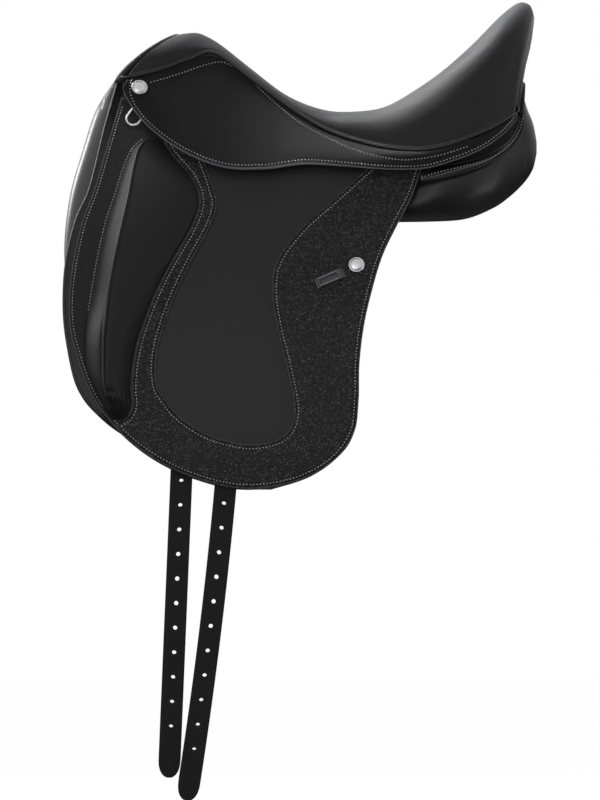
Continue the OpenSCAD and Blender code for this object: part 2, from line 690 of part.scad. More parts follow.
// Panels
function panel_limit(x, z) =
  let (inside = behind_flap(x, z) + sweat_t + fit_gap + 0.5)
  let (leg = (plate_t + 2) * ease((-108 - x / length_k) / 14))
  flap_face(x, z) - flap_t - inside - leg + (inside - 2) * ease((x / length_k - 95) / 30)
  + 200 * ease((x / length_k - 141) / 12);
function panel_ring(s) = [
  for (k = [0:17])
    let (p = along(panel_sections, s))
    let (c = cos(20 * k))
    let (d = sin(20 * k))
    let (wide = p[3] * sign(c) * pow(abs(c), 0.75))
    let (thick = p[4] * sign(d) * pow(abs(d), 0.75))
    let (y = p[1] + wide * cos(p[5]) - thick * sin(p[5]))
    let (z = p[2] + wide * sin(p[5]) + thick * cos(p[5]))
    let (q = sized([p[0], y, z]))
    [q[0], max(gullet_half, min(q[1], panel_limit(q[0], q[2]))), q[2]]
];
module panel() {
  color("#1e1e20") loft([for (i = [0:28]) panel_ring(i / 28)]);
}
module panel_roll() {
  color("#1e1e20") loft([
    for (i = [0:18]) [
      for (k = [0:11])
        let (p = along(roll_line, i / 18))
        let (next = along(roll_line, min(1, i / 18 + 0.02)) - along(roll_line, max(0, i / 18 - 0.02)))
        let (run = unit([next[0], next[1]]))
        let (r = roll_r * p[2])
        let (x = p[0] * length_k + r * cos(30 * k) * -run[1])
        let (z = p[1] * (p[1] > 0 ? height_k : drop_k) + r * cos(30 * k) * run[0])
        let (limit = sweat_face(x, z) - sweat_t - fit_gap - 1.2)
        [x, limit - r * 0.8 * (1 - sin(30 * k)), z]
    ]
  ]);
}

// Flaps: grids between two outlines, their upper edge drawn down in the middle
function sheet_point(front, rear, sag, s, t) =
  let (a = flat_sized(along(front, t)))
  let (b = flat_sized(along(rear, t)))
  let (p = a + (b - a) * s)
  [p[0], p[1] - sag * sin(180 * pow(s, 0.6)) * ease(s / 0.14) * pow(1 - t, 3)];
module sweat_flap() {
  grid = [
    for (i = [0:18])
      [for (j = [0:12]) sheet_point(sweat_front, sweat_rear, 56, pow(j / 12, 1.3), i / 18)]
  ];
  color("#1b1b1d") slab(
    [for (row = grid) [for (p = row) [p[0], sweat_face(p[0], p[1]), p[1]]]],
    [for (row = grid) [for (p = row) [p[0], sweat_face(p[0], p[1]) - sweat_t, p[1]]]]
  );
}
module flap() {
  grid = [for (i = [0:20]) [for (j = [0:10]) sheet_point(flap_front, flap_rear, 12, j / 10, i / 20)]];
  color("#232325") slab(
    [for (row = grid) [for (p = row) [p[0], flap_face(p[0], p[1]), p[1]]]],
    [for (row = grid) [for (p = row) [p[0], flap_face(p[0], p[1]) - flap_t, p[1]]]]
  );
}
overlay_outer = concat([for (p = block_rear) p + [seam_w, 0]], overlay_edge);
module flap_overlay() {
  steps = 54;
  grid = [
    for (i = [0:steps]) [
      for (j = [0:3])
        let (a = flat_sized(along(overlay_outer, i / steps)))
        let (b = flat_sized(along(insert_edge, i / steps)))
        a + (b - a) * j / 3
    ]
  ];
  base = fit_gap + 0.2;
  color("#161617") slab(
    [for (row = grid) [for (p = row) [p[0], flap_face(p[0], p[1]) + base + overlay_t, p[1]]]],
    [for (row = grid) [for (p = row) [p[0], flap_face(p[0], p[1]) + base, p[1]]]]
  );
}
// Height of the block across its width: a straight gusset, then a low crown that falls to the rear seam
function block_profile(s, ridge) =
  s < ridge ? 0.97 * s / ridge
  : let (q = (s - ridge) / (1 - ridge)) 0.97 + 0.887 * q - 1.857 * pow(q, 1.5);
module thigh_block() {
  rows = 18;
  columns = 9;
  function across(j, t) =
    let (ridge = along(block_ridge, t))
    j < 3 ? ridge * j / 2 : ridge + (1 - ridge) * pow((j - 2) / (columns - 2), 0.75);
  grid = [
    for (i = [0:rows]) [
      for (j = [0:columns])
        let (t = i / rows)
        let (s = across(j, t))
        let (p = sheet_point(block_front, block_rear, 0, s, t))
        let (h = 0.6 + block_h * along(block_rise, t) * max(0, block_profile(s, along(block_ridge, t))))
        [p[0], p[1], h]
    ]
  ];
  base = fit_gap + 0.2;
  color("#1b1b1d") slab(
    [for (row = grid) [for (p = row) [p[0], flap_face(p[0], p[1]) + base + p[2], p[1]]]],
    [for (row = grid) [for (p = row) [p[0], flap_face(p[0], p[1]) + base, p[1]]]]
  );
}
// Places a shape on the overlay at a point of the flap, its X turned to the given angle
module on_flap(x, z, turn) {
  h = 4;
  along_x = [2 * h, flap_face(x + h, z) - flap_face(x - h, z), 0];
  along_z = [0, flap_face(x, z + h) - flap_face(x, z - h), 2 * h];
  n = unit(cross(along_z, along_x));
  level = unit(along_x);
  rise = cross(n, level);
  a = level * cos(turn) - rise * sin(turn);
  lift = fit_gap + 0.2 + overlay_t + fit_gap;
  onto([x, flap_face(x, z), z] + n * lift, a, n) children();
}
keeper_l = 34;
keeper_w = 11;
keeper_h = 5;
module stirrup_keeper() {
  color("#19191a") on_flap(34 * length_k, -69 * drop_k, 24) difference() {
    translate([-keeper_l / 2, -keeper_w / 2, 0]) cube([keeper_l, keeper_w, keeper_h]);
    translate([-keeper_l / 2 + 3, -keeper_w, 1.2]) cube([keeper_l - 6, 2 * keeper_w, keeper_h - 2.6]);
  }
}
module flap_stud() {
  color("#b9bcc0") on_flap(64 * length_k, -54 * drop_k, 0) stud();
}

// Draws a shape on the right, or its mirror image on the left
module side_of_saddle(left) {
  mirror([0, left ? 1 : 0, 0]) children();
}

seat_cover();
seat_foam();
seat_web();
tree();
head_plate();
tree_spring(4);  // tree_spring_left
tree_spring(tree_columns - 5);  // tree_spring_right
seat_welt(-1);  // seat_welt_left
seat_welt(1);  // seat_welt_right
cantle_welt();
cantle_facing();
pommel_facing();
side_of_saddle(true) skirt();  // skirt_left
side_of_saddle(false) skirt();  // skirt_right
side_of_saddle(true) pommel_stud();  // pommel_stud_left
side_of_saddle(false) pommel_stud();  // pommel_stud_right
side_of_saddle(true) dee_chape();  // dee_chape_left
side_of_saddle(false) dee_chape();  // dee_chape_right
side_of_saddle(true) dee_ring();  // dee_ring_left
side_of_saddle(false) dee_ring();  // dee_ring_right
side_of_saddle(true) stirrup_bar();  // stirrup_bar_left
side_of_saddle(false) stirrup_bar();  // stirrup_bar_right
bar_rivets();
side_of_saddle(true) safety_catch();  // safety_catch_left
side_of_saddle(false) safety_catch();  // safety_catch_right
side_of_saddle(true) girth_web(front_top, front_pivot_z, 1);  // girth_web_front_left
side_of_saddle(false) girth_web(front_top, front_pivot_z, 1);  // girth_web_front_right
side_of_saddle(true) girth_web(rear_top, rear_pivot_z, 0);  // girth_web_rear_left
side_of_saddle(false) girth_web(rear_top, rear_pivot_z, 0);  // girth_web_rear_right
side_of_saddle(true) billet(front_start, front_tip, 0, 1, 1);  // front_billet_left
side_of_saddle(false) billet(front_start, front_tip, 0, 1, 1);  // front_billet_right
side_of_saddle(true) billet(rear_start, rear_tip, rear_bow, 0, 18);  // rear_billet_left
side_of_saddle(false) billet(rear_start, rear_tip, rear_bow, 0, 18);  // rear_billet_right
side_of_saddle(true) panel();  // panel_left
side_of_saddle(false) panel();  // panel_right
side_of_saddle(true) panel_roll();  // panel_roll_left
side_of_saddle(false) panel_roll();  // panel_roll_right
side_of_saddle(true) sweat_flap();  // sweat_flap_left
side_of_saddle(false) sweat_flap();  // sweat_flap_right
side_of_saddle(true) flap();  // flap_left
side_of_saddle(false) flap();  // flap_right
side_of_saddle(true) flap_overlay();  // flap_overlay_left
side_of_saddle(false) flap_overlay();  // flap_overlay_right
side_of_saddle(true) thigh_block();  // thigh_block_left
side_of_saddle(false) thigh_block();  // thigh_block_right
side_of_saddle(true) stirrup_keeper();  // stirrup_keeper_left
side_of_saddle(false) stirrup_keeper();  // stirrup_keeper_right
side_of_saddle(true) flap_stud();  // flap_stud_left
side_of_saddle(false) flap_stud();  // flap_stud_right
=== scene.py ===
"""Dressage saddle: leather, thread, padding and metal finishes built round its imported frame."""
import math

import bmesh
import bpy
import numpy as np
from bpy.props import FloatProperty, FloatVectorProperty, PointerProperty
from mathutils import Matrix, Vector


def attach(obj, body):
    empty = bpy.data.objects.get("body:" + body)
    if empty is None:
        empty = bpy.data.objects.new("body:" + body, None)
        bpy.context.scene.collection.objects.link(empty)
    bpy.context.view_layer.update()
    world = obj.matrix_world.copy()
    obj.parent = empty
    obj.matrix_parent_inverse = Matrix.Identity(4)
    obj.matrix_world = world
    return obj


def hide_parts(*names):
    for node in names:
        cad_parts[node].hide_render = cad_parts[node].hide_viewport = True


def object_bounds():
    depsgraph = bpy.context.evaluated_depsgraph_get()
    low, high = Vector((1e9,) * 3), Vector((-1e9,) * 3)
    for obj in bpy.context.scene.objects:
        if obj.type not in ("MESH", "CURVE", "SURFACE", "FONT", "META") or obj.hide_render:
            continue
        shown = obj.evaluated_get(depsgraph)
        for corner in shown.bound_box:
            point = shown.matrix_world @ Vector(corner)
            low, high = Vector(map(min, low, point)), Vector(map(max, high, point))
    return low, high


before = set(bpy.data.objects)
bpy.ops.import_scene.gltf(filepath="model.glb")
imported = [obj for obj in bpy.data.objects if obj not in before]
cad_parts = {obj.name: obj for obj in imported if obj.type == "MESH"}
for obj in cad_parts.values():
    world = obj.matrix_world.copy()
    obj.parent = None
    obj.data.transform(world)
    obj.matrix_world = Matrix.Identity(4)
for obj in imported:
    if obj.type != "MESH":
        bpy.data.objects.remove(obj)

bl_info = {
    "name": "Dressage Saddle",
    "version": (1, 0, 0),
    "blender": (4, 5, 0),
    "location": "View3D > Sidebar > Saddle",
    "description": "Builds the leather, stitching, padding and metal of a dressage saddle",
    "category": "Object",
}

CAD_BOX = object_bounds()
MM = 0.001
SIDES = (("left", -1), ("right", 1))

# Guide points of the saddle in millimetres, front to back. Seat line at the middle: x, z
SEAT_MID = [
    (-134, 213), (-118, 214), (-106, 210), (-88, 199), (-52, 170.5), (-16, 143.5), (20, 128), (56, 123),
    (92, 128), (126, 146.5), (160, 170.3), (194, 199.8), (226, 231), (248, 247.5), (262, 246), (267, 234),
]
# Seat edge at the welt: x, y, z
SEAT_EDGE = [
    (-195, 64, 165), (-163, 60, 172), (-130, 51, 184), (-97, 41, 192.5), (-52, 50, 161), (-12, 66, 131),
    (27, 87, 106.5), (65, 106, 92), (103, 124, 83.5), (140, 136, 81.5), (172, 140, 87.5), (200, 135, 98),
    (222, 125, 108.5), (236, 114, 117), (242, 107, 121), (244, 103, 122),
]
# Hollow of the seat's middle, and the height of its shoulder as a share of the fall to the edge
SEAT_DISH = [0, 0, 0, 0, 0, 0, 0, 2, 5, 8, 10, 6, 1, 0, 0, 0]
SEAT_SHOULDER = [0.68, 0.68, 0.66, 0.62, 0.6, 0.7, 0.95, 1.38, 1.46, 1.49, 1.48, 1.3, 1.05, 0.85, 0.75, 0.7]
# Lower edge of the skirt: x, y, z
SKIRT_LOW = [
    (-199, 74, 150), (-190, 84, 127), (-168, 98, 102), (-132, 110, 77), (-88, 118, 60), (-42, 121, 58),
    (5, 123, 63.5), (52, 129, 60.5), (98, 136, 56.5), (140, 144, 57), (176, 147, 66.5), (206, 142, 79),
    (228, 132, 94), (240, 120, 106), (245, 112, 112), (247, 107, 116),
]
# Upper stitch row of the skirt, seen from the side: x, z
SKIRT_ROW = [
    (-171, 156), (-152.8, 161.2), (-128, 169.3), (-109.4, 176), (-91, 180), (-78.7, 176), (-60.4, 164),
    (-41, 144.8), (-20.5, 126.5), (0, 110), (28.5, 94), (57, 81), (85, 72.2), (113.4, 67.3), (135.7, 68.4),
    (160.7, 73), (191, 82.5),
]
# Lower edge of the cantle facing, from the middle outwards: x, y, z
CANTLE_LOW = [(250, 0, 155), (250, 40, 153), (249, 74, 141), (247, 96, 118)]
# Outlines of the flap, the sweat flap and the thigh block, top to bottom: x, z
FLAP_FRONT = [
    (-203, 140), (-217, 92), (-233, 36.5), (-249, -9), (-260.5, -68), (-262, -116), (-253, -157),
    (-236, -201), (-209, -237), (-171, -269), (-123, -293), (-68, -306),
]
FLAP_REAR = [
    (138, 59), (127, 27), (109, -8), (93, -42), (81, -82), (72, -122), (67, -165), (66, -207),
    (60, -245), (43, -270), (11, -292), (-32, -306),
]
SWEAT_FRONT = [
    (-206, 160), (-221, 106), (-238, 36), (-254, -2), (-265, -50), (-267.5, -100), (-263, -144), (-251, -192),
    (-227, -222), (-194, -246), (-142, -270), (-74, -285),
]
SWEAT_REAR = [
    (104, 52), (94, 24), (80, -11), (68, -46), (58, -84), (50, -125), (46, -166), (44, -205),
    (36, -239), (17, -260), (-11, -276), (-43, -284),
]
BLOCK_FRONT = [
    (-176, 95), (-192, 81), (-203, 57), (-212, 28), (-222, -2), (-230, -36), (-237, -74), (-242, -105),
    (-245, -135), (-244, -164), (-237, -188), (-225, -211), (-213, -228),
]
BLOCK_REAR = [
    (-157, 89), (-145, 71), (-125, 47), (-116, 21), (-124, -7), (-142, -39), (-161, -74), (-174, -105),
    (-185, -137), (-191, -166), (-193, -192), (-192, -211), (-197, -225),
]
# Height of the block as a share of the full height, and where its front gusset ends across its width
BLOCK_RISE = [0.06, 0.2, 0.5, 0.74, 0.88, 0.97, 1, 1, 1, 1, 0.95, 0.7, 0.06]
BLOCK_RIDGE = [0.2, 0.18, 0.17, 0.18, 0.21, 0.24, 0.28, 0.33, 0.37, 0.39, 0.33, 0.25, 0.2]
# Overlay outline round the flap's edge behind the block, and the edge of the smooth insert beside it
OVERLAY_EDGE = [
    (-207, -238), (-171, -269), (-123, -293), (-68, -306), (-11, -300), (34, -278), (60, -245), (66, -207),
    (67, -165), (72, -122), (81, -82), (93, -42), (109, -8), (127, 27), (138, 59),
]
INSERT_EDGE = [
    (-117, 84), (-108, 62), (-99, 36), (-95, 15), (-104, -12), (-122, -45), (-139, -80), (-151, -110),
    (-160, -140), (-164, -166), (-162, -190), (-156, -202), (-149, -211), (-142, -220), (-126, -233),
    (-100, -247), (-63, -256), (-32, -253), (-14, -242), (-7, -222), (-9, -199), (-17, -162),
    (-27, -120), (-32, -82), (-26, -48), (1, -11), (41, 25), (82, 62),
]
# Panel sections, front to back: x, middle y and z, half width, half thickness, tilt in degrees
PANEL_SECTIONS = [
    (-196, 54, 78, 26, 8, -58), (-170, 60, 69, 30, 11, -56), (-120, 62, 58, 38, 15, -48),
    (-60, 66, 44, 41, 18, -37), (0, 71, 35, 42, 21, -26), (60, 78, 30, 45, 25, -15),
    (110, 84, 29, 51, 28, -7), (150, 86, 31, 53, 31, 0), (190, 84, 38, 50, 35, 0),
    (222, 74, 53, 42, 37.5, 0), (240, 64, 74.5, 35, 46.5, 0), (252, 58, 90, 26, 51, 0),
    (260, 55, 86, 21, 37.5, 0), (266, 53, 84, 13, 24, 0), (269.5, 52, 82.5, 5, 7, 0),
]
# On the panel's rear: piping, lower and upper edge of the stitched band, and gusset seam: x, z
PANEL_PIPING = [
    (138, 42.6), (143.6, 43.9), (181, 51.6), (210.8, 62.8), (234, 76), (249.6, 95.5), (254.5, 112),
]
BAND_LOW = [
    (138, 44.5), (155, 48.4), (186, 57), (211, 65.4), (232, 78), (243, 90), (250, 103), (253.5, 116),
]
BAND_TOP = [
    (138, 51), (155, 57.9), (186, 63.2), (211, 71.8), (231.8, 84.9), (242.3, 97.1), (247.5, 111.2),
    (250.1, 128.6),
]
PANEL_SEAM = [(134, 41.5), (170, 49), (204, 60.4), (224, 73), (238, 87), (246, 98)]
# Middle line of the panel's front roll: x, z, share of the full radius
ROLL_LINE = [
    (-203, 158, 0.5), (-218, 120, 1), (-233, 74, 1), (-246, 28, 1), (-255, -15, 0.8), (-259, -52, 0.55),
    (-256, -84, 0.3),
]
# Upper edge of the facing beside the panel, from the flap to the cantle: x, y, z
FACING_TOP = [
    (134, 138, 58), (160, 139, 66), (184, 139, 74), (206, 135, 84), (226, 126, 97), (238, 114, 109),
    (245, 103, 117), (249, 92, 124), (251, 79, 138),
]
# Lining under the tree, front to back: x, half width, height at the middle and at the lower edge
LINING = [
    (-130, 48, 175, 97), (-108, 37, 171, 84), (-80, 37, 152, 76), (-40, 38, 126, 66), (0, 40, 103, 58),
    (60, 44, 95, 48), (120, 50, 108, 46), (160, 52, 130, 50), (200, 50, 145, 60), (230, 47, 151, 82),
    (247, 45, 153.5, 105),
]
# Soft folds of the seat leather: side-view line x, z, then height and half width
SEAT_FOLDS = [
    ([(120, 84), (160, 104), (196, 128), (232, 160)], -1.6, 11.0),
    ([(245, 212), (240.5, 193), (236, 176), (231, 158), (229, 142)], 1.3, 5.0),
    ([(251, 208), (246, 190), (241, 168), (237, 146)], -0.9, 5.0),
]

# Directions: backwards, out to the side and up
AFT = np.array([1.0, 0, 0])
OUT = np.array([0, 1.0, 0])
UP = np.array([0, 0, 1.0])

# Layer thicknesses, gaps and lengths of the leather, millimetres
COVER_T = 2.0
LINING_T = 1.2
SKIRT_T = 3.0
FLAP_T = 3.0
OVERLAY_T = 2.0
SWEAT_T = 3.0
STRAP_T = 4.0
STRAP_W = 25.0
FIT_GAP = 0.4
LAYER_GAP = 0.6
STRAP_GAP = 2.0
WELT_D = 4.0
POMMEL_ROLL = 13.0
BLOCK_H = 27.0
GULLET_HALF = 33.0
SEAT_PIPING_D = WELT_D + 1.4
CANTLE_PIPING_D = WELT_D + 0.6
CANTLE_SEAM_D = 7.0
BLOCK_PIPING_D = 2.4
PANEL_PIPING_D = 2.6
BINDING_D = 4.2
ROLL_R = 15.0
FLAP_DROP = 306.0
FLAP_HALF = 210.0
LIFT_FRONT = (-222.0, 66.0, 125.0)
LIFT_REAR = (138.0, 128.0, 50.0)
SWEAT_SAG = 56.0
FLAP_SAG = 12.0
# Share of the thigh block's columns that its gusset takes
GUSSET_SHARE = 0.24
# Reach of a cut edge's wear and of its painted rim highlight, and the number at points far from any edge
WORN_REACH = 2.2
RIM_HIGHLIGHT_REACH = 1.8
FAR_INSIDE = 50.0
# Path points that are compared with a surface at a time
BATCH = 60


def ease(t):
    """Smooth step: three squares less two cubes of t held between 0 and 1."""
    q = np.clip(t, 0, 1)
    return q * q * (3 - 2 * q)


def bell(gap, width):
    """Bell curve of a gap: one at zero, falling with the square of gap over width."""
    return np.exp(-((gap / width) ** 2))


def unit(v):
    """Vectors divided by their own length."""
    return v / np.maximum(np.linalg.norm(v, axis=-1, keepdims=True), 1e-12)


def along(points, share):
    """Smooth curve through points: cubics whose slope at a point is half the step between its neighbours."""
    p = np.asarray(points, float)
    single = p.ndim == 1
    p = p[:, None] if single else p
    last = len(p) - 1
    q = np.clip(np.asarray(share, float), 0, 1) * last
    i = np.minimum(np.floor(q).astype(int), last - 1)
    t = (q - i)[..., None]
    a = p[np.maximum(i - 1, 0)]
    b = p[i]
    c = p[i + 1]
    d = p[np.minimum(i + 2, last)]
    found = b + 0.5 * t * ((c - a) + t * ((2 * a - 5 * b + 4 * c - d) + t * (3 * (b - c) + d - a)))
    return found[..., 0] if single else found


def smooth_path(points, count=400):
    """Dense smooth curve through guide points."""
    return along(points, np.linspace(0, 1, count))


def lengths(path):
    """Distance along a path up to each of its points."""
    steps = np.linalg.norm(np.diff(path, axis=0), axis=1)
    return np.concatenate([[0.0], np.cumsum(steps)])


def at_lengths(at, run, path):
    """Points of a path at distances along it."""
    return np.stack([np.interp(at, run, path[:, k]) for k in range(path.shape[1])], axis=1)


def resample(path, step):
    """Points at equal distances along a path."""
    run = lengths(path)
    count = max(2, int(round(run[-1] / step)) + 1)
    return at_lengths(np.linspace(0, run[-1], count), run, path)


def heading(path):
    """Unit direction of a path at each of its points."""
    return unit(np.gradient(path, axis=0))


def inset(path, distance):
    """Side-view path moved by a distance to the left of its own direction."""
    run = heading(path)
    return path + distance * np.stack([-run[:, 1], run[:, 0]], axis=1)


def unit_grid(rows, columns):
    """Shares from 0 to 1 down the rows and across the columns of a grid."""
    return np.meshgrid(np.linspace(0, 1, rows), np.linspace(0, 1, columns), indexing="ij")


def grid_normals(grid):
    """Unit normals of a grid: cross product of the differences along its rows and its columns."""
    return unit(np.cross(np.gradient(grid, axis=0), np.gradient(grid, axis=1)))


def normals_to(grid, axis):
    """Unit normals of a grid, turned so that the middle one points along an axis and not against it."""
    normal = grid_normals(grid)
    rows, columns = grid.shape[:2]
    return normal * np.sign(normal[rows // 2, columns // 2, axis])


def batches(path):
    """Path cut into short lengths, so that each can be compared with a whole surface."""
    return np.array_split(path, max(1, len(path) // BATCH))


def line_distance(points, path):
    """Least side-view distance from each point to a dense path."""
    x = points[..., 0].reshape(-1, 1)
    z = points[..., -1].reshape(-1, 1)
    best = np.full(len(x), np.inf)
    for part in batches(path):
        best = np.minimum(best, np.hypot(x - part[:, 0], z - part[:, 1]).min(axis=1))
    return best.reshape(points.shape[:-1])


def drape(path, grid):
    """Points and normals of a surface behind a side-view path: the nearest grid point's tangent plane."""
    least_facing = 0.05
    most_slide = 3
    normal = grid_normals(grid).reshape(-1, 3)
    normal = normal * np.where(np.mean(normal[:, 1]) < 0, -1.0, 1.0)
    facing = normal[:, 1] > least_facing
    flat = grid.reshape(-1, 3)[facing]
    nearest = []
    for part in batches(path):
        gap = (flat[None, :, 0] - part[:, None, 0]) ** 2 + (flat[None, :, 2] - part[:, None, 1]) ** 2
        nearest.append(gap.argmin(axis=1))
    pick = np.concatenate(nearest)
    base = flat[pick]
    n = normal[facing][pick]
    slide = n[:, 0] * (path[:, 0] - base[:, 0]) + n[:, 2] * (path[:, 1] - base[:, 2])
    y = base[:, 1] - np.clip(slide / n[:, 1], -most_slide, most_slide)
    return np.stack([path[:, 0], y, path[:, 1]], axis=1), n


def row_on(path, grid, step=1.0):
    """Stitch row: a side-view path at even steps, laid on a surface."""
    return drape(resample(path, step), grid)


def soften(values, reach):
    """Moving mean along the first axis over a reach of rows, with the end rows repeated."""
    held = np.concatenate([values[:1]] * reach + [values] + [values[-1:]] * reach)
    total = np.cumsum(np.concatenate([np.zeros_like(held[:1]), held]), axis=0)
    width = 2 * reach + 1
    return (total[width:] - total[:-width]) / width


def lift_share(x):
    """Place of x between the front and the rear end of the line about which the flap lifts."""
    return (x - LIFT_FRONT[0]) / (LIFT_REAR[0] - LIFT_FRONT[0])


def lift_height(x):
    """Height of the lifting line at x."""
    return LIFT_FRONT[2] + (LIFT_REAR[2] - LIFT_FRONT[2]) * lift_share(x)


def flap_face(x, z):
    """Sideways place of the flap's outer face: out from the lifting line by one minus a falling power."""
    power = 1.8
    curl = 12.5
    top_y = LIFT_FRONT[1] + (LIFT_REAR[1] - LIFT_FRONT[1]) * lift_share(x)
    s = (lift_height(x) - z) / (lift_height(x) + FLAP_DROP)
    below = 1 - (1 - np.clip(s, 0, 1)) ** power
    up = np.clip(s, -0.5 * power / curl, 0)
    above = power * up + curl * up * up
    return top_y + (FLAP_HALF - top_y) * np.where(s > 0, below, above)


def strap_room(x, z):
    """Gap behind the flap: wide where the girth straps hang, and growing above the lifting line."""
    rest = 0.8
    lean = 0.3
    front = -225
    rear = 25
    room = 2 * STRAP_T + 3 * STRAP_GAP + 1
    band = ease((x - front) / 40) * ease((rear - x) / 50)
    return rest + (room - rest) * band + lean * np.maximum(0, z - lift_height(x))


def sweat_face(x, z):
    """Sideways place of the sweat flap's outer face, behind the flap and the straps' room."""
    return flap_face(x, z) - FLAP_T - strap_room(x, z)


def on_face(xz, face, lift):
    """Side-view points carried onto a sideways face and lifted off it."""
    x = xz[..., 0]
    z = xz[..., 1]
    return np.stack([x, face(x, z) + lift, z], axis=-1)


def between(front, rear, sag, s, t):
    """Side-view sheet between two outlines, its upper edge drawn down by a sine in the middle."""
    skew = 0.6
    start = 0.14
    a = along(front, t)
    p = a + (along(rear, t) - a) * s[..., None]
    drop = sag * np.sin(np.pi * s**skew) * ease(s / start) * (1 - t) ** 3
    return np.stack([p[..., 0], p[..., 1] - drop], axis=-1)


def seat_point(u, v):
    """Seat surface: a cubic from the middle line over a shoulder down to the welt, mirrored in v."""
    outer = 0.65
    mid = along(SEAT_MID, u)
    edge = along(SEAT_EDGE, u)
    top = mid[..., 1] - along(SEAT_DISH, u)
    shoulder = edge[..., 2] + along(SEAT_SHOULDER, u) * (mid[..., 1] - edge[..., 2])
    t = np.abs(v)
    w = 1 - t
    near = w * w * (w + 3 * t)
    rise = 3 * w * t * t
    far = t**3
    x = mid[..., 0] * near + (outer * edge[..., 0] + (1 - outer) * mid[..., 0]) * rise + edge[..., 0] * far
    y = edge[..., 1] * (1.5 * w * w * t + rise + far)
    z = top * near + shoulder * rise + edge[..., 2] * far
    return np.stack([x, np.sign(v) * y, z], axis=-1)


def seat_grid(rows, columns):
    """Seat points and upward normals on a grid from the front arch to the back and from left to right."""
    u, v = np.meshgrid(np.linspace(0, 1, rows), np.linspace(-1, 1, columns), indexing="ij")
    grid = seat_point(u, v)
    return grid, normals_to(grid, 2)


def seat_end(u, v, inward):
    """Front or back border of the seat leather, with the direction off it and the one across it."""
    step = 0.01
    at = np.full_like(v, u)
    end = seat_point(at, v)
    off = unit(end - seat_point(at + inward, v))
    across = seat_point(at, np.minimum(v + step, 1)) - seat_point(at, np.maximum(v - step, -1))
    return end, off, across


def skirt_edge():
    """Lower edge of the skirt, held clear of the flap in front of the panel."""
    clearance = 10
    panel_front = 110
    low = np.array(SKIRT_LOW, float)
    clear = flap_face(low[:, 0], low[:, 2]) + OVERLAY_T + FIT_GAP + clearance + SKIRT_T
    low[:, 1] = np.where(low[:, 0] < panel_front, np.maximum(low[:, 1], clear), low[:, 1])
    return low


def skirt_point(s, t):
    """Skirt surface: straight from the welt to the lower edge with a low sine crown."""
    crown = np.array([0, 3.2, 2.4])
    top = along(SEAT_EDGE, s) - (WELT_D + 2 * FIT_GAP) * UP
    low = along(skirt_edge(), s)
    return top + (low - top) * t[..., None] + crown * np.sin(np.pi * t)[..., None]


class Value:
    """Shader socket that takes part in Python sums: each operator adds one Math node."""

    def __init__(self, tree, socket):
        self.tree = tree
        self.socket = socket

    def math(self, operation, *values):
        """Math node of one operation on sockets and numbers."""
        node = self.tree.nodes.new("ShaderNodeMath")
        node.operation = operation
        for entry, value in zip(node.inputs, values):
            if isinstance(value, Value):
                self.tree.links.new(value.socket, entry)
            else:
                entry.default_value = value
        return Value(self.tree, node.outputs[0])

    def __add__(self, other):
        return self.math("ADD", self, other)

    __radd__ = __add__

    def __sub__(self, other):
        return self.math("SUBTRACT", self, other)

    def __rsub__(self, other):
        return self.math("SUBTRACT", other, self)

    def __mul__(self, other):
        return self.math("MULTIPLY", self, other)

    __rmul__ = __mul__

    def __truediv__(self, other):
        return self.math("DIVIDE", self, other)

    def __pow__(self, other):
        return self.math("POWER", self, other)

    def held(self, low=0.0, high=1.0):
        """The value held between two limits."""
        return self.math("MINIMUM", self.math("MAXIMUM", self, low), high)


